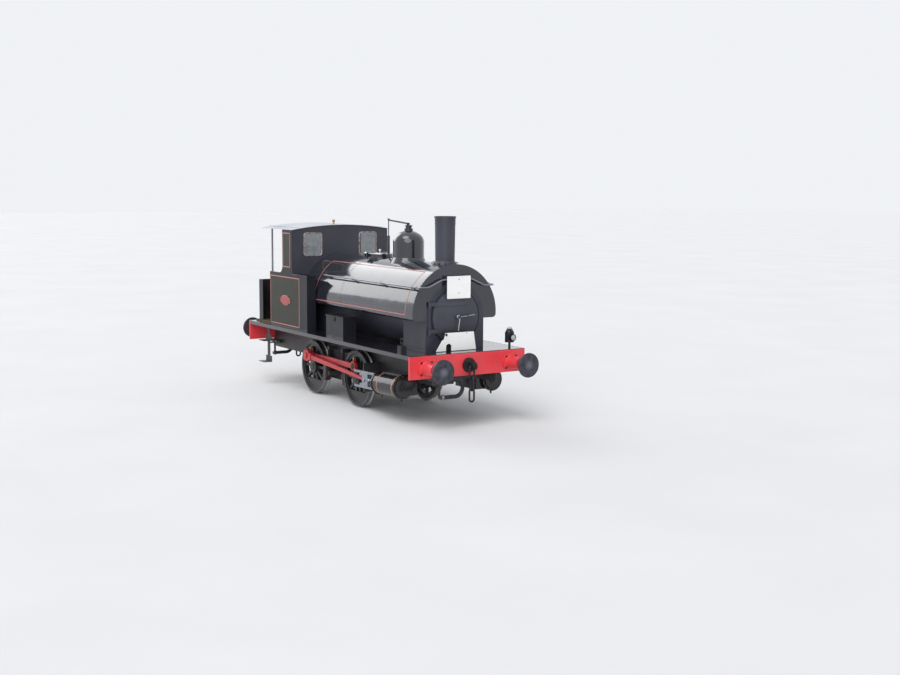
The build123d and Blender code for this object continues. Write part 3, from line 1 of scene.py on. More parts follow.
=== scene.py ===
"""A saddle tank steam locomotive, dressed in the order in which it is put together."""
import json

import bpy
import numpy as np
from mathutils import Matrix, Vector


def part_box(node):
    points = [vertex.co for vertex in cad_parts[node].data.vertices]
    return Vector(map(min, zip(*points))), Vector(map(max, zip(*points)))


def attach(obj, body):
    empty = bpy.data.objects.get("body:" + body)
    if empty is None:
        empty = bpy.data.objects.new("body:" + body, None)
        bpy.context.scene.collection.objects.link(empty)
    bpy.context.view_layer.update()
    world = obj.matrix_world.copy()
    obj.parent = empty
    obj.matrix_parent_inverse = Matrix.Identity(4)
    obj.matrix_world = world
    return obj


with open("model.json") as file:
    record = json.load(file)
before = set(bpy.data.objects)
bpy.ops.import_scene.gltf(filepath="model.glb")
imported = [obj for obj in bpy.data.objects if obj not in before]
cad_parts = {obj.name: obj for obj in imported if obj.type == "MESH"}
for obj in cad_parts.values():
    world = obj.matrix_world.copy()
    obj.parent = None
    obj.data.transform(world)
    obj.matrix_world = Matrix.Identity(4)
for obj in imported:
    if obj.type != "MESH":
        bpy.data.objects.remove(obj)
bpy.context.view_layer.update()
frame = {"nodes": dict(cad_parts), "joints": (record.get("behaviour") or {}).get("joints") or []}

# Frame plates, stretchers and brackets: steel plate an inch thick, cut to shape and riveted to angle irons.
# They are brushed with black oil paint, which dust and old oil from the motion turn brown and dull low down.
ENGINE = "locomotive"


def linear(code):
    """An sRGB hex colour as linear light."""
    share = np.array([int(code[i:i + 2], 16) for i in (1, 3, 5)]) / 255
    light = np.where(share <= 0.04045, share / 12.92, ((share + 0.055) / 1.055) ** 2.4)
    return (*light.tolist(), 1.0)


def add(tree, kind, sockets=None, **settings):
    """Adds a node with its settings; each socket takes another node's output or a plain value."""
    node = tree.nodes.new("ShaderNode" + kind)
    for name, value in settings.items():
        setattr(node, name, value)
    for name, value in (sockets or {}).items():
        if isinstance(value, bpy.types.NodeSocket):
            tree.links.new(value, node.inputs[name])
        else:
            node.inputs[name].default_value = value
    return node


def new_finish(name):
    """An empty material, its node tree and the place on the object in metres."""
    material = bpy.data.materials.new(name)
    material.use_nodes = True
    material.node_tree.nodes.clear()
    return material, material.node_tree, add(material.node_tree, "TexCoord").outputs["Object"]


def patches(tree, where, size, low, high, stretch=(1, 1, 1), detail=3.0):
    """From 0 to 1 in soft patches of a size in metres, drawn out along an axis whose stretch is under 1."""
    placed = add(tree, "Mapping", {"Vector": where, "Scale": stretch}).outputs[0]
    cloud = add(tree, "TexNoise", {"Vector": placed, "Scale": 1 / size, "Detail": detail}).outputs[0]
    return add(tree, "MapRange", {"Value": cloud, "From Min": low, "From Max": high}).outputs[0]


def blended(tree, share, first, second):
    """The first colour where the share is 0, and the second where it is 1."""
    return add(tree, "Mix", {0: share, 6: first, 7: second}, data_type="RGBA").outputs[2]


def summed(tree, *terms):
    """Each term's factor times its output, all added up."""
    total = 0.0
    for factor, output in terms:
        total = add(
            tree, "Math", {0: output, 1: factor, 2: total}, operation="MULTIPLY_ADD"
        ).outputs[0]
    return total


def finished(material, tree, colour, roughness, height=None, depth=0.001, **constant):
    """Joins colour, roughness and a relief of a depth in metres to the surface; the rest name their sockets."""
    sockets = {name.replace("_", " "): value for name, value in constant.items()}
    sockets |= {"Base Color": colour, "Roughness": roughness}
    if height is not None:
        sockets["Normal"] = add(tree, "Bump", {"Height": height, "Distance": depth}).outputs[0]
    surface = add(tree, "BsdfPrincipled", sockets)
    add(tree, "OutputMaterial", {"Surface": surface.outputs[0]})
    return material


def painted_steel(name, coat, faded, gloss, soot=0.3, dust=0.5, panels=(), panel_coat=None, wet_above=None,
                  **constant):
    """Oil paint on rolled plate. The plate ripples a little over each foot, soot lies in patches and runs
    down in streaks with the rain, and dust from the track fades out at the height of the running plate.
    Above a height it may stand wet, as smooth as water. The brush marks are drawn 4 mm wide, coarser than
    the real ones, which would not show."""
    material, tree, where = new_finish(name)
    fade = patches(tree, where, 0.55, 0.35, 0.7)
    runs = patches(tree, where, 0.06, 0.52, 0.8, stretch=(1, 1, 0.07))
    sooty = patches(tree, where, 0.3, 0.45, 0.75, detail=6.0)
    ripple = patches(tree, where, 0.32, 0.0, 1.0, detail=1.0)
    fine = patches(tree, where, 0.004, 0.3, 0.7)
    high = add(tree, "SeparateXYZ", {0: where}).outputs[2]
    low_down = add(
        tree, "MapRange", {"Value": high, "From Min": 1.35, "From Max": 0.1, "To Max": dust}
    ).outputs[0]
    coated = blended(tree, fade, linear(coat), linear(faded))
    for centre, half in panels:
        offset = add(tree, "VectorMath", {0: where, 1: centre}, operation="SUBTRACT").outputs[0]
        apart = add(tree, "VectorMath", {0: offset}, operation="ABSOLUTE").outputs[0]
        along, _, up = add(tree, "SeparateXYZ", {0: apart}).outputs
        inside_x = add(tree, "Math", {0: along, 1: half[0]}, operation="LESS_THAN").outputs[0]
        inside_z = add(tree, "Math", {0: up, 1: half[1]}, operation="LESS_THAN").outputs[0]
        inside = add(tree, "Math", {0: inside_x, 1: inside_z}, operation="MULTIPLY").outputs[0]
        coated = blended(tree, inside, coated, linear(panel_coat))
    dirt = summed(tree, (soot * 0.55, runs), (soot * 0.6, sooty), (0.9, low_down))
    dirt = add(tree, "Math", {0: dirt, 1: 0.85}, operation="MINIMUM").outputs[0]
    colour = blended(tree, dirt, coated, linear("#4d463f"))
    rough = summed(tree, (0.5, dirt), (0.07, fade), (0.04, fine), (gloss, 1.0))
    relief = summed(tree, (1.0, ripple), (0.012, fine))
    if wet_above is not None:
        wet = add(tree, "Math", {0: high, 1: wet_above}, operation="GREATER_THAN").outputs[0]
        dry = add(tree, "Math", {0: 1.0, 1: wet}, operation="SUBTRACT").outputs[0]
        rough = add(tree, "Math", {0: rough, 1: dry, 2: 0.04}, operation="MULTIPLY_ADD").outputs[0]
    return finished(material, tree, colour, rough, relief, 0.004, **constant)


def dress(material, *nodes):
    """Gives nodes of the frame their finish."""
    for node in nodes:
        for place in frame["nodes"][node].material_slots:
            place.material = material


def shell(rings, loop=False):
    """Closed skins from rings of points: each ring is joined to the next, and the two end rings close on
    their middle point, or join each other in a loop. The shape of rings is copies, rings, points, 3."""
    rings = np.asarray(rings, float)
    copies, count, around, _ = rings.shape
    grid = np.arange(count * around).reshape(count, around)
    near = grid if loop else grid[:-1]
    far = np.roll(grid, -1, 0) if loop else grid[1:]
    faces = np.stack([near, np.roll(near, -1, 1), np.roll(far, -1, 1), far], -1).reshape(-1, 4)
    points = rings.reshape(copies, -1, 3)
    if not loop:
        middles = rings[:, [0, -1]].mean(2)
        points = np.concatenate([points, middles], 1)
        for ring, turned_ring, middle in ((grid[0], np.roll(grid[0], -1), 0), (np.roll(grid[-1], -1), grid[-1], 1)):
            hub = np.full(around, count * around + middle)
            faces = np.concatenate([faces, np.stack([hub, turned_ring, ring, ring], -1)])
    corner = points[:, faces]
    volume = np.einsum(
        "cfk,cfk->c", corner[:, :, 0], np.cross(corner[:, :, 1], corner[:, :, 2])
    ) + np.einsum("cfk,cfk->c", corner[:, :, 0], np.cross(corner[:, :, 2], corner[:, :, 3]))
    every = np.repeat(faces[None], copies, 0)
    every = np.where((volume < 0)[:, None, None], every[:, :, ::-1], every)
    every = every + (np.arange(copies) * points.shape[1])[:, None, None]
    return points.reshape(-1, 3), every.reshape(-1, 4)


def joined(skins):
    """Several skins as one: their points in a row, and their faces numbered on to suit."""
    starts = np.cumsum([0] + [len(points) for points, _ in skins[:-1]])
    points = np.concatenate([points for points, _ in skins])
    return points, np.concatenate([faces + start for (_, faces), start in zip(skins, starts)])


def piece(name, body, slot, material, *skins):
    """One finished piece: its skins joined in one mesh, in its place, riding on its body. It is shaded smooth,
    but for edges where two faces turn by more than 35 degrees."""
    points, corners = joined(skins)
    three = (corners[:, 2] == corners[:, 3]) | (corners[:, 0] == corners[:, 1])
    folded = corners[three]
    ends = np.where((folded[:, 2] == folded[:, 3])[:, None], folded[:, :3], folded[:, 1:])
    mesh = bpy.data.meshes.new(name)
    mesh.from_pydata(points.tolist(), [], corners[~three].tolist() + ends.tolist())
    mesh.shade_smooth()
    mesh.set_sharp_from_angle(angle=np.radians(35.0))
    mesh.materials.append(material)
    thing = bpy.data.objects.new(name, mesh)
    bpy.context.scene.collection.objects.link(thing)
    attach(thing, body)
    return thing


def unit(vector):
    """A vector, or each of several, made one long."""
    vector = np.asarray(vector, float)
    return vector / np.linalg.norm(vector, axis=-1, keepdims=True)


def turned(profile, at, axis, sides=32):
    """A lathe form: circles of the profile's radii at its distances along an axis, copied to each place."""
    profile = np.asarray(profile, float)
    at = np.atleast_2d(at).astype(float)
    axis = np.broadcast_to(unit(axis), at.shape)
    helper = np.where(np.abs(axis[:, 2:]) > 0.9, [[1.0, 0, 0]], [[0, 0, 1.0]])
    side = unit(np.cross(helper, axis))
    other = np.cross(axis, side)
    turn = np.linspace(0, 2 * np.pi, sides, endpoint=False)
    ring = np.cos(turn)[:, None, None] * side + np.sin(turn)[:, None, None] * other
    along = profile[:, 0, None, None, None] * axis + at
    rings = along + profile[:, 1, None, None, None] * ring
    return rings.transpose(2, 0, 1, 3)


def row(start, end, pitch):
    """Evenly spaced places from one point to another, about a pitch apart."""
    start, end = np.asarray(start, float), np.asarray(end, float)
    count = max(2, round(np.linalg.norm(end - start) / pitch) + 1)
    return start + np.linspace(0, 1, count)[:, None] * (end - start)


def both_hands(places):
    """The same places and their mirror images across the centre line."""
    return np.concatenate([places, places * [1, -1, 1]])


def rivets(at, axis, radius=0.011):
    """Snap heads: a low dome half as high as its radius, on a foot let 1 mm into the plate."""
    dome = [(-0.001, 1.0), (0.15, 1.0), (0.42, 0.78), (0.56, 0.4)]
    profile = [(dome[0][0], radius)] + [(h * radius, r * radius) for h, r in dome[1:]]
    return shell(turned(profile, at, axis, sides=8))


frame_black = painted_steel("oily_black_frame_paint", "#212228", "#2a2b31", 0.36, soot=0.35, dust=0.35)
dress(frame_black, "frame_plates", "frame_stretchers", "motion_brackets", "brake_rigging")

frame_low, frame_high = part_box("frame_plates")
FRAME_RIVET_DROP, FRAME_RIVET_PITCH = 0.035, 0.11
rivet_z = frame_high.z - FRAME_RIVET_DROP
plate_rivets = row(
    (frame_low.x + 0.1, frame_high.y, rivet_z), (frame_high.x - 0.1, frame_high.y, rivet_z), FRAME_RIVET_PITCH
)
piece("frame_top_rivets", ENGINE, "black_paint", frame_black, rivets(plate_rivets, (0, 1, 0)),
      rivets(plate_rivets * [1, -1, 1], (0, -1, 0)))

# Axleboxes, leaf springs and brake blocks: iron castings with their skin left on, and leaves of tempered steel.
# The castings are grainy and rust in the damp; the leaves are black scale with rust creeping from between them.


def bare_iron(name, skin, rust, share, grain, roughness=0.62, metallic=0.55):
    """Bare iron or steel, rusting in patches. The grain is the size of the pits that sand or scale leaves, in
    metres, and is drawn several times coarser than the real 1 mm so that it shows."""
    material, tree, where = new_finish(name)
    rusty = patches(tree, where, 0.09, 0.72 - share, 0.9 - share, detail=7.0)
    mottled = patches(tree, where, 0.5, 0.3, 0.7)
    pits = patches(tree, where, grain, 0.3, 0.7)
    colour = blended(tree, mottled, linear(skin), linear("#2c2927"))
    colour = blended(tree, rusty, colour, linear(rust))
    rough = summed(tree, (0.2, rusty), (0.1, pits), (roughness, 1.0))
    return finished(material, tree, colour, rough, pits, 0.0009, Metallic=metallic)


cast_iron = bare_iron("rusting_cast_iron", "#3a3735", "#5b3a28", 0.25, 0.006)
spring_steel = bare_iron("black_spring_steel", "#2b2b2d", "#4d3527", 0.2, 0.004, roughness=0.5)
dress(cast_iron, "axleboxes", "brake_blocks")
dress(spring_steel, "leaf_springs")

# Wheels and axles: cast steel centres painted black, with steel tyres shrunk on and turned to the rail's form.
# The rail keeps the tread and the flange's root bright; the tyre's face, the spokes and the hub stay black.


def wheel_finish(name, axle_x, axle_z, tread_r):
    """Black paint inside the tyre, and steel polished by the rail from the tread outwards."""
    material, tree, where = new_finish(name)
    offset = add(tree, "VectorMath", {0: where, 1: (axle_x, 0, axle_z)}, operation="SUBTRACT").outputs[0]
    flat = add(tree, "VectorMath", {0: offset, 1: (1, 0, 1)}, operation="MULTIPLY").outputs[0]
    radius = add(tree, "VectorMath", {0: flat}, operation="LENGTH").outputs["Value"]
    bright = add(
        tree, "MapRange", {"Value": radius, "From Min": tread_r - 0.011, "From Max": tread_r - 0.005}
    ).outputs[0]
    oily = patches(tree, where, 0.16, 0.45, 0.75, detail=6.0)
    rough_cast = patches(tree, where, 0.009, 0.3, 0.7)
    paint = blended(tree, oily, linear("#1f2026"), linear("#322d2b"))
    steel = blended(tree, rough_cast, linear("#a3a5a8"), linear("#8a8683"))
    colour = blended(tree, bright, paint, steel)
    rough = summed(tree, (-0.16, bright), (0.2, oily), (0.42, 1.0))
    return finished(material, tree, colour, rough, rough_cast, 0.0012, Metallic=bright)


axle_steel = bare_iron("oiled_axle_steel", "#55534f", "#4a3a30", 0.12, 0.01, roughness=0.35, metallic=0.9)
AXLE_Z, FLANGE = 0.549, 0.029
for end in ("rear", "front"):
    wheel_low, wheel_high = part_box(f"wheel_{end}_left")
    axle_x = (wheel_low.x + wheel_high.x) / 2
    tyre_and_spokes = wheel_finish(f"{end}_wheel_paint_and_tyre", axle_x, AXLE_Z, AXLE_Z - FLANGE)
    dress(tyre_and_spokes, f"wheel_{end}_left", f"wheel_{end}_right")
    dress(axle_steel, f"axle_{end}")
    axle_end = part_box(f"axle_{end}")[1].y
    cap = [(-0.002, 0.062), (0.006, 0.062), (0.011, 0.056), (0.011, 0.02), (0.004, 0.012), (0.004, 0.004)]
    skins = [
        shell(turned(cap, (axle_x, side * axle_end, AXLE_Z), (0, side, 0), sides=40)) for side in (1, -1)
    ]
    piece(f"{end}_axle_ends", f"{end}_wheelset", "dark_steel", axle_steel, *skins)

# Cylinders: iron castings wrapped in thin sheet over lagging, with a turned cover held by studs at each end.
# The sheet is glossy black with a band of lining near each end; the nuts and drain cocks are bare metal.
gloss_black = painted_steel(
    "gloss_black_engine_paint", "#1b1c22", "#26272e", 0.16, soot=0.2, dust=0.2, Specular_IOR_Level=0.25
)
cladding_black = painted_steel("gloss_black_cylinder_cladding", "#1a1a1e", "#232328", 0.08, soot=0.08, dust=0.03)
dress(cladding_black, "cylinders")


def machined_steel(name, tone, darker, roughness, line=0.0011, oil=0.3):
    """Planed or turned steel, wiped with oil: fine tool lines, with brown where the oil has gathered dust. The
    lines are drawn 1 to 4 mm apart; real ones are under 0.5 mm and would not show."""
    material, tree, where = new_finish(name)
    oily = patches(tree, where, 0.07, 0.7 - oil, 0.95 - oil, detail=6.0)
    tool = patches(tree, where, line, 0.3, 0.7, stretch=(0.03, 1, 1))
    colour = blended(tree, tool, linear(tone), linear(darker))
    colour = blended(tree, oily, colour, linear("#54483a"))
    rough = summed(tree, (0.16, oily), (0.07, tool), (roughness, 1.0))
    return finished(material, tree, colour, rough, tool, 0.00008, Metallic=1.0)


bright_steel = machined_steel("planed_bright_steel", "#a4a7b0", "#90939c", 0.26, line=0.003, oil=0.18)
stud_steel = machined_steel("dull_stud_steel", "#5d5b58", "#474441", 0.42, oil=0.5)
straw = painted_steel("straw_lining_paint", "#c8a88e", "#ba9c84", 0.3, soot=0.12, dust=0.2)
lining_red = painted_steel("red_lining_paint", "#9c3844", "#8e3641", 0.28, soot=0.12, dust=0.2)


def around(centre, axis, radius, count, start=0.0):
    """Places evenly spaced round a circle."""
    rim = turned([(0, radius)], centre, axis, sides=count)[0, 0]
    shift = int(round(start * count)) % count
    return np.roll(rim, shift, 0)


def nuts(at, axis, across):
    """A hexagon nut with its corners turned off and the stud's end standing through it, on a washer. Each is a
    lathe profile in shares of the corner's radius, which is half the width across the flats over cos 30."""
    corner_r = across / 2 / 0.866
    hexagon = np.array([(0.0, 0.92), (0.08, 1.0), (0.62, 1.0), (0.72, 0.86)]) * corner_r
    stud = np.array([(0.3, 0.46), (0.92, 0.46), (1.0, 0.36)]) * corner_r
    washer = np.array([(-0.03, 1.3), (0.09, 1.3)]) * corner_r
    forms = ((hexagon, 6), (stud, 8), (washer, 12))
    return joined([shell(turned(form, at, axis, sides=sides)) for form, sides in forms])


INCLINE = np.radians(1.5)
ENGINE_Y = 0.940
CYLINDER_R = 0.195
cylinder_axis = np.array([np.cos(INCLINE), 0, np.sin(INCLINE)])
driving_axle = np.array([-1.075, 0, AXLE_Z])
CYLINDER_BACK, CYLINDER_FRONT = 2.96, 3.76
band_skins, band_edges, cover_nuts = [], [], []
for side in (1, -1):
    line = driving_axle + [0, side * ENGINE_Y, 0]
    for along in (CYLINDER_BACK + 0.20, CYLINDER_FRONT - 0.075):
        hoop = [(-0.017, CYLINDER_R - 0.004), (-0.017, CYLINDER_R + 0.0016), (0.017, CYLINDER_R + 0.0016),
                (0.017, CYLINDER_R - 0.004)]
        band_edges.append(shell(turned(hoop, line + cylinder_axis * along, cylinder_axis, sides=72), loop=True))
        inner = [(h * 0.38, r + 0.0009 * (r > CYLINDER_R)) for h, r in hoop]
        band_skins.append(shell(turned(inner, line + cylinder_axis * along, cylinder_axis, sides=72), loop=True))
    for along, facing in ((CYLINDER_FRONT, 1), (CYLINDER_BACK, -1)):
        studs = around(line + cylinder_axis * along, cylinder_axis, CYLINDER_R - 0.012, 12)
        cover_nuts.append(nuts(studs, cylinder_axis * facing, 0.03))
piece("cylinder_band_edges", ENGINE, "red_paint", lining_red, *band_edges)
piece("cylinder_band_middles", ENGINE, "red_paint", straw, *band_skins)
piece("cylinder_cover_nuts", ENGINE, "dark_steel", stud_steel, *cover_nuts)
COCK = [(-0.012, 0.017), (0.016, 0.017), (0.020, 0.010), (0.044, 0.010), (0.048, 0.015), (0.062, 0.015),
        (0.066, 0.008)]
TAP = [(-0.026, 0.005), (-0.024, 0.008), (0.024, 0.008), (0.026, 0.005)]
cock_places = np.array([
    driving_axle + [0, side * ENGINE_Y, -CYLINDER_R] + cylinder_axis * along
    for side in (1, -1) for along in (CYLINDER_BACK + 0.05, CYLINDER_FRONT - 0.05)
])
piece("cylinder_drain_cocks", ENGINE, "brass", stud_steel, shell(turned(COCK, cock_places, (0, 0, -1), sides=14)),
      shell(turned(TAP, cock_places - [0, 0, 0.034], (1, 0, 0), sides=10)))

# Crossheads, slide bars and rods: forged steel, machined all over. The working faces are left bright and oiled,
# and the rods are painted red, with thick oil and dust gathered round their ends.
rod_red = painted_steel("oily_red_rod_paint", "#cb2d37", "#b52f39", 0.22, soot=0.3, dust=0.15)
dress(bright_steel, "slide_bars", "crosshead_left", "crosshead_right")
dress(rod_red, "coupling_rod_left", "coupling_rod_right", "connecting_rod_left", "connecting_rod_right")
brass = machined_steel("wiped_brass", "#c9a262", "#b08a4e", 0.22)
joints = {joint["name"]: joint for joint in frame["joints"]}
WHEELBASE, BOSS_TOP = 1.8, 0.118
CUP = [(0.0, 0.017), (0.008, 0.024), (0.034, 0.024), (0.04, 0.014), (0.05, 0.014), (0.054, 0.007)]
for hand in ("left", "right"):
    side = 1 if hand == "left" else -1
    rod_low, rod_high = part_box(f"coupling_rod_{hand}")
    middle_y = (rod_low.y + rod_high.y) / 2
    pin = np.array(joints[f"coupling_rod_{hand}_turn"]["pos_m"])
    pins = np.array([pin, pin + [WHEELBASE, 0, 0]])
    outer_y = rod_high.y if side > 0 else rod_low.y
    cups = turned(CUP, pins + [0, middle_y - pin[1], BOSS_TOP], (0, 0, 1), sides=14)
    piece(f"coupling_rod_{hand}_oil_cups", f"coupling_rod_{hand}", "brass", brass, shell(cups))
    face = [(-0.001, 0.078), (0.004, 0.078), (0.004, 0.058), (-0.001, 0.058)]
    bush = turned(face, pins * [1, 0, 1] + [0, outer_y, 0], (0, side, 0), sides=40)
    piece(f"coupling_rod_{hand}_bushes", f"coupling_rod_{hand}", "brass", brass, shell(bush, loop=True))
    pin_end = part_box(f"wheel_front_{hand}")[1 if side > 0 else 0].y
    cap = [(-0.002, 0.042), (0.003, 0.042), (0.005, 0.038), (0.005, 0.008)]
    piece(f"front_crankpin_{hand}_cap", "front_wheelset", "dark_steel", stud_steel,
          shell(turned(cap, (pins[1, 0], pin_end, pins[1, 2]), (0, side, 0), sides=6)))

# Buffer beams: thick steel plates across both ends, riveted to angle irons on the frames and painted bright red.
# The rain runs soot down them in faint streaks, and dust dulls them towards the lower edge.
beam_red = painted_steel("red_buffer_beam_paint", "#ee4149", "#df414a", 0.26, soot=0.12, dust=0.2)
dress(beam_red, "front_beam", "rear_beam", "buffer_housings")
beam_low, beam_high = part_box("front_beam")
beam_bolts = []
for x, facing in ((beam_high.x, 1), (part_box("rear_beam")[0].x, -1)):
    for y in (0.575, 0.64):
        column = row((x, y, beam_low.z + 0.06), (x, y, beam_high.z - 0.06), 0.09)
        beam_bolts.append(rivets(both_hands(column), (facing, 0, 0), 0.014))
    foot = row((x, -1.13, beam_high.z - 0.03), (x, 1.13, beam_high.z - 0.03), 0.145)
    beam_bolts.append(rivets(foot, (facing, 0, 0), 0.012))
piece("beam_rivets", ENGINE, "red_paint", beam_red, *beam_bolts)

# Buffers: a red tapered casting bolted on by four nuts, and a forged head whose face the next vehicle rubs.
# The face is dark greasy steel, worn brighter in rings about its middle.


def buffer_face_finish(name, centres):
    """Forged steel, black with old grease, with worn rings that fade outwards from each buffer's middle."""
    material, tree, where = new_finish(name)
    flat = add(tree, "VectorMath", {0: where, 1: (0, 1, 1)}, operation="MULTIPLY").outputs[0]
    mirrored = add(tree, "VectorMath", {0: flat}, operation="ABSOLUTE").outputs[0]
    offset = add(tree, "VectorMath", {0: mirrored, 1: centres}, operation="SUBTRACT").outputs[0]
    radius = add(tree, "VectorMath", {0: offset}, operation="LENGTH").outputs["Value"]
    worn = add(tree, "MapRange", {"Value": radius, "From Min": 0.1, "From Max": 0.0}).outputs[0]
    scored = patches(tree, where, 0.012, 0.35, 0.7, detail=5.0)
    greasy = patches(tree, where, 0.08, 0.4, 0.7, detail=6.0)
    colour = blended(tree, greasy, linear("#46474f"), linear("#33333a"))
    colour = blended(tree, summed(tree, (0.55, worn)), colour, linear("#8b8e98"))
    rough = summed(tree, (-0.1, worn), (0.16, greasy), (0.44, 1.0))
    return finished(material, tree, colour, rough, scored, 0.0006, Metallic=0.5)


BUFFER_Y, BUFFER_Z = 0.870, 1.059
PAD_THICK, PAD_BOLT_R = 0.036, 0.143
dress(buffer_face_finish("greasy_buffer_steel", (0, BUFFER_Y, BUFFER_Z)), "buffer_heads")
pad_nuts = []
for x, facing in ((beam_high.x + PAD_THICK, 1), (-beam_high.x - PAD_THICK, -1)):
    for y in (-BUFFER_Y, BUFFER_Y):
        ring = around((x, y, BUFFER_Z), (1, 0, 0), PAD_BOLT_R, 8)[1::2]
        pad_nuts.append(nuts(ring, (facing, 0, 0), 0.03))
piece("buffer_pad_nuts", ENGINE, "dark_steel", stud_steel, *pad_nuts)

# Drawhooks and couplings: forged iron, each hook held on a round plate by four nuts. They are
# never painted, so thin brown rust grows where the links don't rub.
forged_iron = bare_iron("forged_coupling_iron", "#26262c", "#3a2c27", 0.16, 0.008, roughness=0.44, metallic=0.4)
dress(forged_iron, "drawhooks", "coupling_front", "coupling_rear")
HOOK_PLATE_THICK, HOOK_BOLT_R = 0.030, 0.1
hook_nuts = []
for x, facing in ((beam_high.x + HOOK_PLATE_THICK, 1), (-beam_high.x - HOOK_PLATE_THICK, -1)):
    corners = around((x, 0, BUFFER_Z), (1, 0, 0), HOOK_BOLT_R, 8)[1::2]
    hook_nuts.append(nuts(corners, (facing, 0, 0), 0.028))
piece("hook_plate_nuts", ENGINE, "dark_steel", stud_steel, *hook_nuts)

# Vacuum brake pipes and hoses: iron pipe, and rubber hose wound on wire, so that its skin stands up in ribs.
# The ribs are 12 mm apart; the real ones are finer and would not show.


def hose_rubber(name):
    """Grey-black rubber, ribbed round the hose's own line, with dust on the ribs."""
    material, tree, where = new_finish(name)
    dusty = patches(tree, where, 0.05, 0.4, 0.75, detail=5.0)
    skin = patches(tree, where, 0.008, 0.3, 0.7)
    colour = blended(tree, dusty, linear("#19191e"), linear("#303036"))
    rough = summed(tree, (0.14, dusty), (0.55, 1.0))
    return finished(material, tree, colour, rough, skin, 0.0009)


rubber = hose_rubber("wire_wound_hose_rubber")
dress(rubber, "vacuum_hoses")
pipe_black = painted_steel("black_pipe_paint", "#24252a", "#2f2f34", 0.34, soot=0.4, dust=0.5)
dress(pipe_black, "vacuum_pipes")
HOSE_X, HOSE_END_Y, HOSE_BEND_Y, HOSE_BEND_R, HOSE_R = 3.387, -0.580, -0.310, 0.145, 0.033
HOSE_MIDDLE_Z = 0.686
RIB_PITCH = 0.012
straight = HOSE_BEND_Y - HOSE_END_Y
whole = 2 * straight + np.pi * HOSE_BEND_R
along = np.arange(0.05, whole - 0.05, RIB_PITCH)
angle = np.clip((along - straight) / HOSE_BEND_R, 0, np.pi)
lead = np.minimum(along, straight)
back = np.maximum(along - straight - np.pi * HOSE_BEND_R, 0)
rib_y = HOSE_END_Y + lead + HOSE_BEND_R * np.sin(angle) - back
rib_z = HOSE_MIDDLE_Z - HOSE_BEND_R * np.cos(angle)
heading = np.stack([0 * angle, np.cos(angle), np.sin(angle)], 1)
RIB = [(-0.0036, HOSE_R - 0.0012), (-0.0018, HOSE_R + 0.0022), (0.0018, HOSE_R + 0.0022), (0.0036, HOSE_R - 0.0012)]
CLIP = [(-0.011, HOSE_R - 0.002), (-0.011, HOSE_R + 0.005), (0.011, HOSE_R + 0.005), (0.011, HOSE_R - 0.002)]
HORN = [(-0.02, HOSE_R - 0.004), (-0.02, 0.043), (0.0, 0.049), (0.012, 0.049), (0.016, 0.044)]
rib_skins, clip_skins, horn_skins = [], [], []
for end in (1, -1):
    places = np.stack([np.full_like(rib_y, end * HOSE_X), rib_y, rib_z], 1)
    rib_skins.append(shell(turned(RIB, places, heading, sides=20), loop=True))
    for z in (HOSE_MIDDLE_Z - HOSE_BEND_R, HOSE_MIDDLE_Z + HOSE_BEND_R):
        clip_skins.append(shell(turned(CLIP, (end * HOSE_X, HOSE_END_Y + 0.03, z), (0, 1, 0), sides=28), loop=True))
    horn_skins.append(
        shell(turned(HORN, (end * HOSE_X, HOSE_END_Y + 0.006, HOSE_MIDDLE_Z - HOSE_BEND_R), (0, 1, 0), sides=28))
    )
piece("hose_ribs", ENGINE, "rubber", rubber, *rib_skins)
piece("hose_clips", ENGINE, "dark_steel", stud_steel, *clip_skins)
piece("hose_couplings", ENGINE, "bright_steel", bright_steel, *horn_skins)

# Running plate and valances: one long sheet and a strip under each edge, painted black. The top is wet, so it
# shines like water; the strips are dry and dusty.
plate_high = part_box("running_plate")[1]
wet_black = painted_steel("wet_black_plate_paint", "#1b1c22", "#26272e", 0.22, soot=0.2, dust=0.15,
                          wet_above=plate_high.z - 0.002, Coat_Weight=0.6, Coat_Roughness=0.05)
dress(wet_black, "running_plate")
dress(gloss_black, "rear_steps", "tool_boxes", "oil_boxes")
EDGE_INSET, EDGE_REACH, EDGE_PITCH = 0.022, 3.25, 0.13
edge_y = plate_high.y - EDGE_INSET
plate_edge = row((-EDGE_REACH, edge_y, plate_high.z), (EDGE_REACH, edge_y, plate_high.z), EDGE_PITCH)
piece("plate_edge_rivets", ENGINE, "black_paint", gloss_black, rivets(both_hands(plate_edge), (0, 0, 1), 0.008))

# Tool boxes: plate boxes on the running plate, each with a lid on two riveted strap hinges. A hasp at the
# outer side drops over a staple; the straps are painted with the box, the hasp is rubbed bare.


def eased_bar(low, high, ease=0.0015):
    """A flat bar with eased edges: rectangles up its height, drawn in a little at its foot and its top."""
    (x0, y0, z0), (x1, y1, z1) = low, high
    level = np.array([(z0, ease), (z0 + ease, 0), (z1 - ease, 0), (z1, ease)])
    corners = np.array([(x0, y0), (x1, y0), (x1, y1), (x0, y1)])
    inward = np.array([(1, 1), (-1, 1), (-1, -1), (1, -1)])
    flat = corners + level[:, 1, None, None] * inward
    return shell(np.concatenate([flat, np.broadcast_to(level[:, :1, None], (4, 4, 1))], 2)[None])


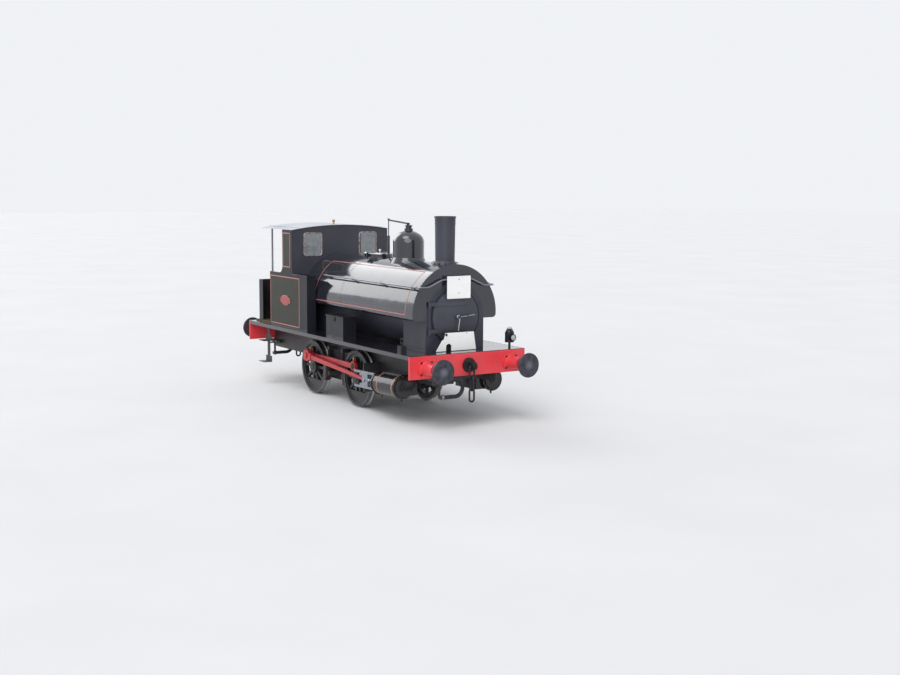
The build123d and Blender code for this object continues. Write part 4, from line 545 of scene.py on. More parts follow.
box_low, box_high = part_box("tool_boxes")
STRAP_INSET, STRAP_HALF, STRAP_THICK = 0.14, 0.017, 0.004
strap_top = box_high.z + STRAP_THICK
straps, hasps = [], []
for side in (1, -1):
    for x in (box_low.x + STRAP_INSET, box_high.x - STRAP_INSET):
        near, far = sorted((side * (box_high.y - 0.27), side * (box_high.y - 0.06)))
        straps.append(eased_bar((x - STRAP_HALF, near, box_high.z - 0.001), (x + STRAP_HALF, far, strap_top)))
        heads = row((x, near + 0.03, strap_top), (x, far - 0.03, strap_top), 0.07)
        straps.append(rivets(heads, (0, 0, 1), 0.006))
    middle = (box_low.x + box_high.x) / 2
    near, far = sorted((side * (box_high.y - 0.001), side * (box_high.y + STRAP_THICK)))
    hasp_low, hasp_high = (middle - 0.016, near, box_high.z - 0.105), (middle + 0.016, far, box_high.z - 0.002)
    hasps.append(eased_bar(hasp_low, hasp_high))
    staple = [(-0.016, 0.004), (0.010, 0.004), (0.013, 0.0075), (0.021, 0.0075), (0.023, 0.004)]
    hasps.append(shell(turned(staple, (middle, side * box_high.y, box_high.z - 0.08), (0, side, 0), sides=12)))
piece("tool_box_straps", ENGINE, "black_paint", gloss_black, *straps)
piece("tool_box_hasps", ENGINE, "dark_steel", stud_steel, *hasps)

# Boiler, firebox and ashpan: riveted plate under thin sheet, and a plain plate box for the ashes.
# They sit in the dark under the tank, matt with soot and pale with scale where water has boiled away.
sooty_black = painted_steel("sooty_black_heat_paint", "#31333f", "#3b3d49", 0.44, soot=0.3, dust=0.3)
dress(sooty_black, "boiler", "ashpan", "firehole_door")

# Smokebox and its door: the hottest plate on the engine, in a dull black that soon burns and rusts.
# Snap rivets go round the front ring; the door is pressed steel, held shut by a dart with two handles.
door_black = painted_steel("burnt_door_black", "#32343f", "#3c3e4b", 0.38, soot=0.25, dust=0.1)
dress(sooty_black, "smokebox")
dress(door_black, "smokebox_door")
BOILER_Z, SMOKEBOX_FRONT_X, RING_RIVET_R = 1.859, 2.875, 0.562
ring = around((SMOKEBOX_FRONT_X, 0, BOILER_Z), (1, 0, 0), RING_RIVET_R, 44)
above_plate = ring[ring[:, 2] > 1.33]
piece("smokebox_ring_rivets", ENGINE, "smokebox_black", sooty_black, rivets(above_plate, (1, 0, 0), 0.0105))
saddle_rivets = row((2.16, 0.6, 1.32), (2.83, 0.6, 1.32), 0.085)
piece("smokebox_side_rivets", ENGINE, "smokebox_black", sooty_black, rivets(saddle_rivets, (0, 1, 0)),
      rivets(saddle_rivets * [1, -1, 1], (0, -1, 0)))
RIM_X = 2.8955
rim = [(-0.004, 0.462), (0.006, 0.468), (0.009, 0.478), (0.006, 0.488), (-0.004, 0.489)]
piece("door_rim_bead", "smokebox_door", "smokebox_black", gloss_black,
      shell(turned(rim, (RIM_X, 0, BOILER_Z), (1, 0, 0), sides=96), loop=True))
DART = [(-0.03, 0.034), (-0.02, 0.038), (0.0, 0.038), (0.006, 0.03)]
GRIP_R = 0.0130
handle_skins = [shell(turned(DART, (2.9953, 0, BOILER_Z), (1, 0, 0), sides=32))]
for x, angle, back, reach in ((3.011, 5.0, -0.055, 0.330), (3.039, 262.0, 0.020, 0.235)):
    heading = (0, np.cos(np.radians(angle)), np.sin(np.radians(angle)))
    grip = [(back, 0.006), (back + 0.004, GRIP_R), (reach - 0.004, GRIP_R), (reach + 0.001, 0.006)]
    handle_skins.append(shell(turned(grip, (x, 0, BOILER_Z), heading, sides=20)))
piece("door_handle_grips", "smokebox_door", "bright_steel", bright_steel, *handle_skins)

# The two boards on the door: plywood sawn to shape, painted white and left blank. Each is screwed to the irons
# that stand out from the door, and swings with it.
board_white = painted_steel("white_board_paint", "#fafbfa", "#f3f4f3", 0.42, soot=0.05, dust=0.0)
dress(board_white, "headboard", "lower_board")
board_low, board_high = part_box("headboard")
screw = [(-0.001, 0.009), (0.002, 0.009), (0.0035, 0.006), (0.0035, 0.002)]
board_screws = np.array([(board_high.x, 0.02, board_high.z - 0.06), (board_high.x, 0.02, board_low.z + 0.1)])
piece("headboard_screws", "smokebox_door", "dark_steel", stud_steel,
      shell(turned(screw, board_screws, (1, 0, 0), sides=12)))
lower_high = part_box("lower_board")[1]
lower_screws = np.array([(lower_high.x, 0.12, BOILER_Z - 0.275)])
piece("lower_board_screws", "smokebox_door", "dark_steel", stud_steel,
      shell(turned(screw, lower_screws, (1, 0, 0), sides=12)),
      nuts((lower_high.x, -0.296, BOILER_Z - 0.289), (1, 0, 0), 0.034))

# Saddle tank: quarter-inch plate rolled over the boiler and riveted to angle irons inside each end.
# It is the showpiece: the deepest gloss on the engine, with one long panel of lining on each side.
tank_black = painted_steel(
    "deep_gloss_tank_paint", "#22242d", "#2a2c37", 0.07, soot=0.1, dust=0.0, Coat_Weight=0.7, Coat_Roughness=0.04
)
dress(tank_black, "saddle_tank", "dome")
TANK_R, TANK_Z = 0.865, 1.909
tank_low, tank_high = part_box("saddle_tank")


def ribbon(path, outward, width, lift, sink=0.002):
    """A flat strip carried along a path: two edges across it, and its face lifted off the plate."""
    path, outward = np.asarray(path, float), unit(outward)
    tangent = unit(np.gradient(path, axis=0))
    across = unit(np.cross(tangent, outward))
    section = np.array([(-0.5, -sink), (-0.5, lift), (0.5, lift), (0.5, -sink)])
    side = section[None, :, :1] * width * across[:, None]
    out = section[None, :, 1:] * outward[:, None]
    return shell((path[:, None] + side + out)[None])


def over_tank(x, low_angle, high_angle, count=24):
    """A line up the tank's side at one x, by the angle above its middle, and the plate's outward direction."""
    angle = np.linspace(low_angle, high_angle, count)
    out = np.stack([0 * angle, np.cos(angle), np.sin(angle)], 1)
    return np.stack([np.full_like(angle, x), 0 * angle, np.full_like(angle, TANK_Z)], 1) + TANK_R * out, out


PANEL_X = (-0.865, 2.620)
PANEL_LOW_Z = 1.909
PANEL_TOP = np.radians(58)
RED_W, STRAW_W = 0.024, 0.007
corner_low = np.arcsin((PANEL_LOW_Z - TANK_Z) / TANK_R)


def lining(name, lines, body=ENGINE):
    """Lining brushed on by hand: a red line with a straw line down its middle, each a film of paint thick."""
    for colour, paint, width, lift in (("red", lining_red, RED_W, 0.0012), ("straw", straw, STRAW_W, 0.0020)):
        skins = [ribbon(path, out, width, lift) for path, out in lines]
        mirrored = [ribbon(path * [1, -1, 1], out * [1, -1, 1], width, lift) for path, out in lines]
        piece(f"{name}_{colour}", body, "red_paint", paint, *skins, *mirrored)


tank_lines = [over_tank(x, corner_low, PANEL_TOP) for x in PANEL_X]
for angle in (corner_low, PANEL_TOP):
    out = np.array([0, np.cos(angle), np.sin(angle)])
    ends = np.array([(x, 0, TANK_Z) + TANK_R * out for x in np.linspace(*PANEL_X, 12)])
    tank_lines.append((ends, np.repeat(out[None], 12, 0)))
lining("tank_lining", tank_lines)

SEAM_X = 0.175
SKIRT_CORNER, SKIRT_DROP = 0.070, 0.030
seam_path, seam_out = over_tank(SEAM_X, 0, np.pi, 65)
skirt_turn = np.radians([-70, -52, -35, -18, -2])
skirt_out = np.stack([0 * skirt_turn, np.cos(skirt_turn), np.sin(skirt_turn)], 1)
skirt = np.array([SEAM_X, TANK_R - SKIRT_CORNER, TANK_Z - SKIRT_DROP]) + SKIRT_CORNER * skirt_out
other_side = np.array([1, -1, 1])
seam_path = np.concatenate([skirt, seam_path, (skirt * other_side)[::-1]])
seam_out = np.concatenate([skirt_out, seam_out, (skirt_out * other_side)[::-1]])
piece("tank_seam_strip", ENGINE, "black_paint", tank_black, ribbon(seam_path, seam_out, 0.060, 0.0010))
ring_angle = np.linspace(np.radians(2), np.radians(178), 46)
ring_out = np.stack([0 * ring_angle, np.cos(ring_angle), np.sin(ring_angle)], 1)
tank_rivet_skins = []
for x in (tank_low.x + 0.04, SEAM_X - 0.018, SEAM_X + 0.018, tank_high.x - 0.035):
    on_strip = 0.0010 if abs(x - SEAM_X) < 0.03 else 0.0
    places = np.array([x, 0, TANK_Z]) + (TANK_R + on_strip) * ring_out
    tank_rivet_skins.append(rivets(places, ring_out, 0.0065))
face = np.array([tank_high.x, 0, TANK_Z]) + (TANK_R - 0.035) * ring_out
tank_rivet_skins.append(rivets(face, (1, 0, 0), 0.0075))
piece("tank_rivets", ENGINE, "black_paint", tank_black, *tank_rivet_skins)

# Filler, dome and safety valve: a riveted ring with a near-white steel lid, and a pressed dome over the steam
# collector. The lid's near-white is a painted reflection: it stands for the bright sky shining on the lid's glossy
# top. The valve is sooty black, with its steel lever held down by a spring balance behind the dome.
# Painted reflection: the lid's near-white colour stands for the sky reflected in its top.
lid_steel_with_painted_reflection = machined_steel("near_white_lid_painted_sky_reflection", "#d5d7dc", "#c2c4ca", 0.18, oil=0.05)
dress(lid_steel_with_painted_reflection, "filler_lid")
valve_black = painted_steel("sooty_black_valve_paint", "#292b35", "#343642", 0.3, soot=0.3, dust=0.0)
dress(valve_black, "safety_valve")
DOME_X, DOME_R = 1.275, 0.288
dome_foot = around((DOME_X, 0, TANK_Z), (0, 0, 1), DOME_R + 0.045, 28)
reach = np.sqrt(TANK_R**2 - dome_foot[:, 1] ** 2)
foot_out = np.stack([0 * reach, dome_foot[:, 1] / TANK_R, reach / TANK_R], 1)
dome_foot[:, 2] = TANK_Z + reach
piece("dome_foot_rivets", ENGINE, "black_paint", tank_black, rivets(dome_foot, foot_out, 0.009))

# Chimney: a stovepipe of rolled plate on a cast foot that is bolted down round its edge, with two hoops shrunk on
# below its lip. The hot gases keep it as dull and sooty as the smokebox.
dress(sooty_black, "chimney")
CHIMNEY_X = 2.538
chimney_foot = around((CHIMNEY_X, 0, TANK_Z), (0, 0, 1), 0.228, 12)
reach = np.sqrt(TANK_R**2 - chimney_foot[:, 1] ** 2)
foot_out = np.stack([0 * reach, chimney_foot[:, 1] / TANK_R, reach / TANK_R], 1)
chimney_foot[:, 2] = TANK_Z + reach + 0.022
piece("chimney_foot_nuts", ENGINE, "dark_steel", stud_steel, nuts(chimney_foot, foot_out, 0.026))
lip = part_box("chimney")[1].z
hoop = [(-0.012, 0.178), (-0.012, 0.1855), (0.012, 0.1855), (0.012, 0.178)]
hoops = np.array([(CHIMNEY_X, 0, lip - drop) for drop in (0.075, 0.13)])
piece("chimney_hoops", ENGINE, "smokebox_black", sooty_black,
      shell(turned(hoop, hoops, (0, 0, 1), sides=64), loop=True))

# Handrails: steel tube through turned knobs on short stems, along both sides of the tank and over the door. Hands
# and oily rags keep the steel clean, with a soft shine and a darker film where they don't reach.
rail_steel = machined_steel("wiped_handrail_steel", "#8d8f98", "#7f818a", 0.3, line=0.004, oil=0.1)
dress(rail_steel, "handrails", "cab_pillars")
RAIL_Z, RAIL_Y = 2.395, 0.7956
lean = unit(np.array([0, RAIL_Y, RAIL_Z - TANK_Z]))
knob_places = np.array([(x, RAIL_Y, RAIL_Z) for x in (-0.5, 0.58, 1.66, 2.74)])
BALL = [(-0.027, 0.008), (-0.022, 0.018), (-0.012, 0.025), (0.0, 0.0275), (0.012, 0.025), (0.021, 0.018),
        (0.026, 0.008)]
STEM = [(-0.082, 0.024), (-0.074, 0.024), (-0.068, 0.013), (-0.03, 0.0105)]
knob_skins = []
for side in (1, -1):
    hand = np.array([1, side, 1])
    knob_skins.append(shell(turned(BALL, knob_places * hand, lean * hand, sides=20)))
    knob_skins.append(shell(turned(STEM, knob_places * hand, lean * hand, sides=20)))
piece("handrail_knobs", ENGINE, "bright_steel", rail_steel, *knob_skins)

# Cab: eighth-inch sheet on angle irons, open behind. The sides carry two olive panels edged with lining, and the
# lower one runs on over the bunker's side without a step. A blank red oval plate is fixed in its middle.
LOWER_PANEL = ((-1.790, 0, 1.809), (0.665, 0.480))
UPPER_PANEL = ((-1.6935, 0, 2.834), (0.1585, 0.335))
cab_paint = painted_steel(
    "black_cab_paint_with_olive_panels", "#1a1b22", "#24262e", 0.26, soot=0.15, dust=0.1,
    panels=(LOWER_PANEL, UPPER_PANEL), panel_coat="#2a2a21", Specular_IOR_Level=0.18,
)
dress(cab_paint, "cab_sides", "side_bunkers")
dress(sooty_black, "cab_front")
dress(gloss_black, "cab_back")
CAB_Y = 1.080
CAB_FRONT_X = -1.425
outward = np.array([0, 1.0, 0])
frames = []
for (x, _, z), (half_x, half_z) in (LOWER_PANEL, UPPER_PANEL):
    for start, end in (
        ((x - half_x, z - half_z), (x + half_x, z - half_z)), ((x + half_x, z - half_z), (x + half_x, z + half_z)),
        ((x + half_x, z + half_z), (x - half_x, z + half_z)), ((x - half_x, z + half_z), (x - half_x, z - half_z)),
    ):
        ends = np.array([(start[0], CAB_Y, start[1]), (end[0], CAB_Y, end[1])])
        ends += unit(ends[1] - ends[0]) * RED_W / 2 * [[-1], [1]]
        frames.append((ends, np.repeat(outward[None], 2, 0)))
lining("cab_panel_lining", frames)
PLATE_X, PLATE_Z = -1.760, 1.820
PLATE_HALF = (0.232, 0.102)


def oval(profile, middle, side, sides=56):
    """Ellipses about the plate's middle, each wider than its half axes by the profile's second number, and
    standing off the sheet by its first."""
    turn = np.linspace(0, 2 * np.pi, sides, endpoint=False)
    lift, grow = np.asarray(profile, float).T[:, :, None]
    along, up = (PLATE_HALF[0] + grow) * np.cos(turn), (PLATE_HALF[1] + grow) * np.sin(turn)
    return (np.stack([along, side * lift + 0 * turn, up], -1) + np.asarray(middle))[None]


plate_red = painted_steel("cast_plate_red_enamel", "#a93c3f", "#a03a3c", 0.25, soot=0.05, dust=0.0)
plate_rim = machined_steel("rubbed_plate_rim_brass", "#c9b08a", "#b3986f", 0.3)
FIELD = [(-0.001, -0.004), (0.005, -0.004), (0.0055, -0.012), (0.0055, -0.09)]
RIM = [(-0.001, -0.012), (0.009, -0.011), (0.009, -0.002), (0.007, 0.0), (-0.001, 0.0)]
fields, rims = [], []
for side in (1, -1):
    middle = (PLATE_X, side * CAB_Y, PLATE_Z)
    fields.append(shell(oval(FIELD, middle, side)))
    rims.append(shell(oval(RIM, middle, side), loop=True))
piece("cab_side_plates", ENGINE, "red_paint", plate_red, *fields)
piece("cab_side_plate_rims", ENGINE, "brass", plate_rim, *rims)
CAB_EDGE = 0.028
sheet_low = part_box("cab_sides")[0]
bunker_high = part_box("side_bunkers")[1]
CAB_RIVET_PITCH = 0.075
rear_x, fore_x, foot_z, upper_x = (
    sheet_low.x + CAB_EDGE, bunker_high.x - CAB_EDGE, plate_high.z + CAB_EDGE, CAB_FRONT_X - 0.02
)
cab_rivets = np.concatenate([
    row((start_x, CAB_Y, start_z), (end_x, CAB_Y, end_z), CAB_RIVET_PITCH)
    for start_x, start_z, end_x, end_z in (
        (rear_x, foot_z, fore_x, foot_z), (rear_x, 1.40, rear_x, 2.31), (fore_x, 1.40, fore_x, 2.31),
        (upper_x, 2.42, upper_x, 3.20),
    )
])
piece("cab_side_rivets", ENGINE, "panel_paint", cab_paint, rivets(cab_rivets, (0, 1, 0), 0.0065),
      rivets(cab_rivets * [1, -1, 1], (0, -1, 0), 0.0065))

# Cab edging: half-round iron riveted over the edges of the side sheets and of the bunkers' tops, so that no
# hand meets a raw edge. It is bent cold to the doorway's curve and painted with the sheets.


def wire(path, square, radius, sides=12):
    """A round bar or pipe carried along a path that lies in one plane, given the direction square to it."""
    path = np.asarray(path, float)
    tangent = unit(np.gradient(path, axis=0))
    square = np.broadcast_to(unit(square), path.shape)
    across = np.cross(tangent, square)
    turn = np.linspace(0, 2 * np.pi, sides, endpoint=False)
    circle = np.cos(turn)[:, None] * square[:, None] + np.sin(turn)[:, None] * across[:, None]
    return shell((path[:, None] + radius * circle)[None])


def quarter(middle, radius, start, steps):
    """Points on a quarter circle from a start angle in degrees."""
    angle = np.radians(np.linspace(start, start + 90, steps))
    return np.asarray(middle) + radius * np.stack([np.cos(angle), np.sin(angle)], 1)


EDGING_R, EDGE_TURN_R = 0.008, 0.012
DOORWAY_R, UPPER_BACK_X, ROOF_UNDER_Z = 0.150, -1.875, 3.236
BUNKER_INSIDE_Y, EDGING_SINK = 0.900, 0.004
waist = bunker_high.z
side_edge = np.concatenate([
    [(sheet_low.x, plate_high.z + 0.05)],
    quarter((sheet_low.x + EDGE_TURN_R, waist - EDGE_TURN_R), EDGE_TURN_R, 90, 5)[::-1],
    quarter((UPPER_BACK_X - DOORWAY_R, waist + DOORWAY_R), DOORWAY_R, -90, 13),
    [(UPPER_BACK_X, ROOF_UNDER_Z)],
])
bunker_edge = np.concatenate([
    [(CAB_FRONT_X, CAB_Y)],
    quarter((bunker_high.x - EDGE_TURN_R, CAB_Y - EDGE_TURN_R), EDGE_TURN_R, 0, 5)[::-1],
    [(bunker_high.x, BUNKER_INSIDE_Y)],
])
edging = []
for side in (1, -1):
    side_y = np.full(len(side_edge), side * (CAB_Y - EDGING_SINK))
    bunker_y = side * (bunker_edge[:, 1] - EDGING_SINK)
    on_side = np.column_stack([side_edge[:, 0], side_y, side_edge[:, 1]])
    on_bunker = np.column_stack([bunker_edge[:, 0], bunker_y, np.full(len(bunker_edge), waist)])
    edging += [wire(on_side, (0, 1, 0), EDGING_R), wire(on_bunker, (0, 0, 1), EDGING_R)]
piece("cab_edging", ENGINE, "black_paint", gloss_black, *edging)

# Cab windows: plate glass in the front sheet, held by a rounded frame of half-round brass. Old smears mottle the
# glass, and its dark grey tint is painted shade that stands for the shade seen through it; the brass has gone dull
# and pinkish.
glass_material, glass_tree, glass_where = new_finish("smeared_glass_with_painted_shade")
smears = patches(glass_tree, glass_where, 0.09, 0.4, 0.75, detail=6.0)
# Painted shade: the glass's dark grey stands for the shade seen through the window, with smears mottling it.
finished(glass_material, glass_tree, blended(glass_tree, smears, linear("#7f8486"), linear("#6a6f71")),
         summed(glass_tree, (0.03, smears), (0.005, 1.0)), Transmission_Weight=1.0, IOR=1.5)
dress(glass_material, "window_glass")
WINDOW_Y, WINDOW_Z, WINDOW_CORNER = (0.425, 0.821), (2.719, 3.179), 0.060


def rounded_frame(y, z, corner, steps=8):
    """A closed path round an upright opening: four straight sides joined by quarter circles."""
    turn = np.linspace(0, np.pi / 2, steps)
    middles = np.array([(y[1] - corner, z[1] - corner), (y[0] + corner, z[1] - corner),
                        (y[0] + corner, z[0] + corner), (y[1] - corner, z[0] + corner)])
    quarter = np.arange(4)[:, None] * np.pi / 2 + turn
    arcs = middles[:, None] + corner * np.stack([np.cos(quarter), np.sin(quarter)], -1)
    return arcs.reshape(-1, 2)


def beading(path, outward, radius, stretch=1.0):
    """Half-round strip carried round a closed path, with its flat side on the sheet."""
    tangent = unit(np.roll(path, -1, 0) - np.roll(path, 1, 0))
    across = np.cross(tangent, outward)
    angle = np.linspace(0, np.pi, 7)
    section = np.stack([np.cos(angle) * radius * stretch, np.sin(angle) * radius], 1)
    section = np.concatenate([section, [[-radius * stretch, -0.002], [radius * stretch, -0.002]]])
    rings = path[:, None] + section[None, :, :1] * across[:, None] + section[None, :, 1:] * np.asarray(outward)
    return shell(rings[None], loop=True)


outline = rounded_frame(WINDOW_Y, WINDOW_Z, WINDOW_CORNER)
window_path = np.column_stack([np.full(len(outline), CAB_FRONT_X), outline])
window_skins = []
for side in (1, -1):
    window_skins.append(beading(window_path * [1, side, 1], (1.0, 0, 0), 0.008, 1.3))
window_brass = machined_steel("dull_window_brass", "#c9aeae", "#b39a98", 0.34)
piece("window_rings", ENGINE, "brass", window_brass, *window_skins)

# Cab roof: one rolled sheet riveted to hoops of angle iron, with a rain strip along each side. Its pale grey paint
# is matt and blotched by soot from the chimney.
roof_grey = painted_steel("weathered_grey_roof_paint", "#cfd1da", "#bbbec8", 0.36, soot=0.24, dust=0.0)
dress(roof_grey, "cab_roof")
ROOF_R, ROOF_CENTRE_Z = 6.622, -3.283
ROOF_X = (-2.815, -1.405)
STRIP_Y = 0.930
strip_angle = np.arcsin(STRIP_Y / ROOF_R)
strip_out = np.array([0, np.sin(strip_angle), np.cos(strip_angle)])
strip = np.array([(x, 0, ROOF_CENTRE_Z) + ROOF_R * strip_out for x in ROOF_X])
hand = np.array([1, -1, 1])
outs = np.repeat(strip_out[None], 2, 0)
piece("roof_rain_strips", ENGINE, "roof_grey", roof_grey, ribbon(strip, outs, 0.012, 0.016),
      ribbon(strip * hand, outs * hand, 0.012, 0.016))
lap = np.arcsin(np.linspace(-1.06, 1.06, 34) / ROOF_R)
lap_out = np.stack([0 * lap, np.sin(lap), np.cos(lap)], 1)
roof_laps = [np.array([x, 0, ROOF_CENTRE_Z]) + ROOF_R * lap_out for x in (-1.435, -2.11, -2.785)]
piece("roof_rivets", ENGINE, "roof_grey", roof_grey, *[rivets(places, lap_out, 0.0065) for places in roof_laps])

# Cab floor and fittings: oiled softwood boards laid along the engine, and brass fittings screwed into the boiler's
# back with copper pipes between them. Each board has a shade of its own; the metals are wiped and shine.


def boards(name, width, light, dark):
    """Softwood boards of a width in metres, each a shade of its own, with grain along them and dark joints. The
    grain is drawn 12 mm wide, about four times coarser than the real one."""
    material, tree, where = new_finish(name)
    across = add(tree, "SeparateXYZ", {0: where}).outputs[1]
    count = add(tree, "Math", {0: across, 1: width}, operation="DIVIDE").outputs[0]
    number = add(tree, "Math", {0: count}, operation="FLOOR").outputs[0]
    place = add(tree, "Math", {0: count}, operation="FRACT").outputs[0]
    shade = add(tree, "TexWhiteNoise", {"W": number}, noise_dimensions="1D").outputs[0]
    grain = patches(tree, where, 0.012, 0.3, 0.7, stretch=(0.05, 1, 1))
    edge = add(tree, "Math", {0: place, 1: 0.04}, operation="LESS_THAN").outputs[0]
    tone = summed(tree, (0.45, shade), (0.5, grain))
    colour = blended(tree, edge, blended(tree, tone, linear(light), linear(dark)), linear("#15110d"))
    return finished(material, tree, colour, summed(tree, (0.1, grain), (0.62, 1.0)), grain, 0.0012)


dress(boards("oiled_floor_boards", 0.14, "#6b543c", "#43331f"), "cab_floor")
dress(brass, "whistle")
COLUMNS_Y = 0.6


def fittings_finish(name):
    """Wiped brass near the middle, and black oily iron for the lever and the brake column out to each side."""
    material, tree, where = new_finish(name)
    across = add(tree, "SeparateXYZ", {0: where}).outputs[1]
    aside = add(tree, "Math", {0: across}, operation="ABSOLUTE").outputs[0]
    iron = add(tree, "Math", {0: aside, 1: COLUMNS_Y}, operation="GREATER_THAN").outputs[0]
    metal = add(tree, "Math", {0: 1.0, 1: iron}, operation="SUBTRACT").outputs[0]
    oily = patches(tree, where, 0.05, 0.35, 0.75, detail=6.0)
    colour = blended(tree, oily, linear("#c9a262"), linear("#7d6038"))
    colour = blended(tree, iron, colour, blended(tree, oily, linear("#24252b"), linear("#3a3330")))
    rough = summed(tree, (0.2, oily), (0.1, iron), (0.2, 1.0))
    return finished(material, tree, colour, rough, oily, 0.0004, Metallic=metal)


dress(fittings_finish("cab_brass_and_black_iron"), "cab_fittings")
copper = machined_steel("wiped_copper_pipe", "#b8764f", "#8f5a40", 0.26, line=0.004, oil=0.3)
PIPE_X = -1.688
fall = np.linspace(0, 1, 22)
ease = fall * fall * (3 - 2 * fall)
gauge_pipe = np.stack([np.full(22, PIPE_X), 0.17 * ease, 2.330 - 0.40 * fall], 1)
feed_pipes = []
for y in (0.430, -0.430):
    bend = np.linspace(0, np.pi / 2, 9)
    elbow = np.stack([PIPE_X - 0.06 + 0.09 * (1 - np.cos(bend)), 0 * bend + y, 2.10 + 0.09 * np.sin(bend)], 1)
    feed_pipes.append(wire(np.concatenate([[(PIPE_X - 0.06, y, 1.32)], elbow]), (0, 1, 0), 0.017))
piece("backhead_pipes", ENGINE, "brass", copper, wire(gauge_pipe, (1, 0, 0), 0.007), *feed_pipes)
GAUGE_X, GAUGE_Z, GAUGE_R = -1.730, 2.404, 0.085
dial_white = painted_steel("white_dial_enamel", "#e9ebea", "#dcdedc", 0.3, soot=0.03, dust=0.0)
dial = [(-0.001, GAUGE_R - 0.012), (0.001, GAUGE_R - 0.012), (0.001, 0.01)]
dial_rim = [(-0.002, GAUGE_R - 0.012), (0.008, GAUGE_R - 0.012), (0.010, GAUGE_R - 0.004), (0.006, GAUGE_R + 0.002),
            (-0.002, GAUGE_R + 0.002)]
gauge_place = (GAUGE_X, 0, GAUGE_Z)
piece("gauge_dial", ENGINE, "white_paint", dial_white, shell(turned(dial, gauge_place, (-1, 0, 0), sides=36)))
piece("gauge_rim", ENGINE, "brass", brass, shell(turned(dial_rim, gauge_place, (-1, 0, 0), sides=36), loop=True))
hand_place = np.array([(GAUGE_X - 0.0015, 0.0, GAUGE_Z - 0.014), (GAUGE_X - 0.0015, -0.020, GAUGE_Z + 0.052)])
piece("gauge_pointer", ENGINE, "black_paint", gloss_black, wire(hand_place, (1, 0, 0), 0.0022, sides=8))

# Lamp: a drum of tinned sheet painted black, dropped on an iron at the end of the beam, with a wire bail. The cast
# bull's-eye glass in front is thick and clear, so it catches the light.
dress(gloss_black, "headlamp")
lens_material, lens_tree, lens_where = new_finish("bullseye_lens_glass")
rings = patches(lens_tree, lens_where, 0.02, 0.3, 0.7)
finished(lens_material, lens_tree, blended(lens_tree, rings, linear("#dfe6ea"), linear("#b9c4cc")),
         summed(lens_tree, (0.06, rings), (0.05, 1.0)), Transmission_Weight=0.35, IOR=1.5)
lamp_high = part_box("headlamp")[1]
LAMP_Y, LENS_Z, LENS_R = 0.925, 1.480, 0.050
BAIL_X, BAIL_Z = 3.225, 1.570
bulge = np.linspace(0, 1, 7)[:-1]
lens_profile = [(-0.002, LENS_R)] + [(0.020 * np.sin(b * np.pi / 2), LENS_R * np.cos(b * np.pi / 2)) for b in bulge]
piece("lamp_lens", ENGINE, "glass", lens_material,
      shell(turned(lens_profile, (lamp_high.x, LAMP_Y, LENS_Z), (1, 0, 0), sides=32)))
arch = np.linspace(0, np.pi, 17)
bail = np.stack([np.full(17, BAIL_X), LAMP_Y + 0.074 * np.cos(arch), BAIL_Z + 0.088 * np.sin(arch)], 1)
piece("lamp_bail", ENGINE, "black_paint", gloss_black, wire(bail, (1, 0, 0), 0.004, sides=10))
bezel = [(-0.004, LENS_R - 0.002), (0.006, LENS_R - 0.002), (0.008, LENS_R + 0.006), (-0.004, LENS_R + 0.011)]
piece("lamp_bezel", ENGINE, "black_paint", gloss_black,
      shell(turned(bezel, (lamp_high.x, LAMP_Y, LENS_Z), (1, 0, 0), sides=32), loop=True))

# The studio: a plain pale floor at the wheels' height, an even pale surround, and three broad soft lights from
# above, from the front and from behind. Seen directly, in gloss or through glass the surround is nearly white.
FLOOR_HALF = 150.0
floor_mesh = bpy.data.meshes.new("studio_floor")
floor_mesh.from_pydata(
    [(-FLOOR_HALF, -FLOOR_HALF, 0), (FLOOR_HALF, -FLOOR_HALF, 0), (FLOOR_HALF, FLOOR_HALF, 0),
     (-FLOOR_HALF, FLOOR_HALF, 0)], [], [(0, 1, 2, 3)],
)
floor = bpy.data.objects.new("studio_floor", floor_mesh)
bpy.context.scene.collection.objects.link(floor)
floor_material, floor_tree, floor_where = new_finish("pale_studio_floor")
floor_tone = patches(floor_tree, floor_where, 3.0, 0.3, 0.7)
finished(floor_material, floor_tree, blended(floor_tree, floor_tone, linear("#e4e5e6"), linear("#e0e1e3")),
         summed(floor_tree, (0.05, floor_tone), (0.8, 1.0)))
floor_mesh.materials.append(floor_material)

world = bpy.data.worlds.new("pale_studio")
world.use_nodes = True
world.node_tree.nodes.clear()
rays = add(world.node_tree, "LightPath").outputs
seen = add(world.node_tree, "Math", {0: rays["Is Camera Ray"], 1: rays["Is Glossy Ray"]}, operation="MAXIMUM")
seen = add(world.node_tree, "Math", {0: seen.outputs[0], 1: rays["Is Transmission Ray"]}, operation="MAXIMUM")
LIGHT_LEVEL, SEEN_LEVEL = 0.50, 0.98
strength = add(world.node_tree, "MapRange", {"Value": seen.outputs[0], "To Min": LIGHT_LEVEL, "To Max": SEEN_LEVEL})
backdrop = add(world.node_tree, "Background", {"Color": linear("#f2f4f8"), "Strength": strength.outputs[0]})
add(world.node_tree, "OutputWorld", {"Surface": backdrop.outputs[0]})
bpy.context.scene.world = world


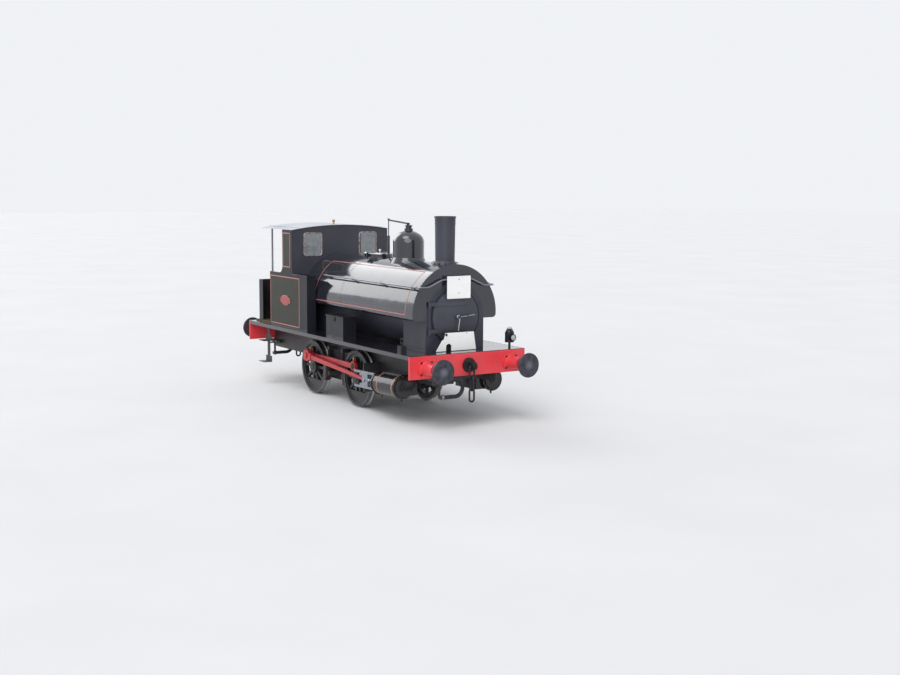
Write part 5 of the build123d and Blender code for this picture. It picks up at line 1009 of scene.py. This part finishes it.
def soft_sky(name, heading, height, spread, level):
    """An even soft light from one part of the sky: where it comes from by its compass heading and its
    height, both in degrees, how wide it is, and its level on a surface that faces it."""
    light = bpy.data.lights.new(name, "SUN")
    light.angle = np.radians(spread)
    light.energy = level
    holder = bpy.data.objects.new(name, light)
    bpy.context.scene.collection.objects.link(holder)
    turn, rise = np.radians([heading, height])
    back = np.array([np.cos(rise) * np.cos(turn), np.cos(rise) * np.sin(turn), np.sin(rise)])
    side = unit(np.cross((0.0, 0.0, 1.0), back))
    axes = np.eye(4)
    axes[:3, :3] = np.stack([side, np.cross(back, side), back], 1)
    axes[:3, 3] = back * 30
    holder.matrix_world = Matrix(axes.tolist())


soft_sky("overhead_light", -70, 62, 38, 1.30)
soft_sky("front_light", -38, 26, 50, 1.15)
soft_sky("back_light", 190, 21, 44, 1.00)

# The camera stands where the photograph was taken from: its place, its turn and its lens were solved
# from the engine's own straight lines.
CAMERA_PLACE = (21.677, -12.036, 4.174)
CAMERA_YAW, CAMERA_PITCH, CAMERA_ROLL = np.radians([32.41, 6.86, 0.34])
FOCAL_PIXELS, PHOTO_WIDTH = 1281.8, 900
eye = bpy.data.cameras.new("photograph_camera")
eye.sensor_fit = "HORIZONTAL"
eye.lens = FOCAL_PIXELS * eye.sensor_width / PHOTO_WIDTH
eye.clip_end = 400.0
camera = bpy.data.objects.new("photograph_camera", eye)
bpy.context.scene.collection.objects.link(camera)
ahead = np.array([-np.cos(CAMERA_YAW) * np.cos(CAMERA_PITCH), np.sin(CAMERA_YAW) * np.cos(CAMERA_PITCH),
                  -np.sin(CAMERA_PITCH)])
level = unit(np.cross(ahead, (0, 0, 1)))
upright = np.cross(level, ahead)
side_on = np.cos(CAMERA_ROLL) * level + np.sin(CAMERA_ROLL) * upright
overhead = -np.sin(CAMERA_ROLL) * level + np.cos(CAMERA_ROLL) * upright
pose = np.eye(4)
pose[:3, :3] = np.stack([side_on, overhead, -ahead], 1)
pose[:3, 3] = CAMERA_PLACE
camera.matrix_world = Matrix(pose.tolist())
bpy.context.scene.camera = camera
bpy.context.scene.view_settings.view_transform = "Standard"
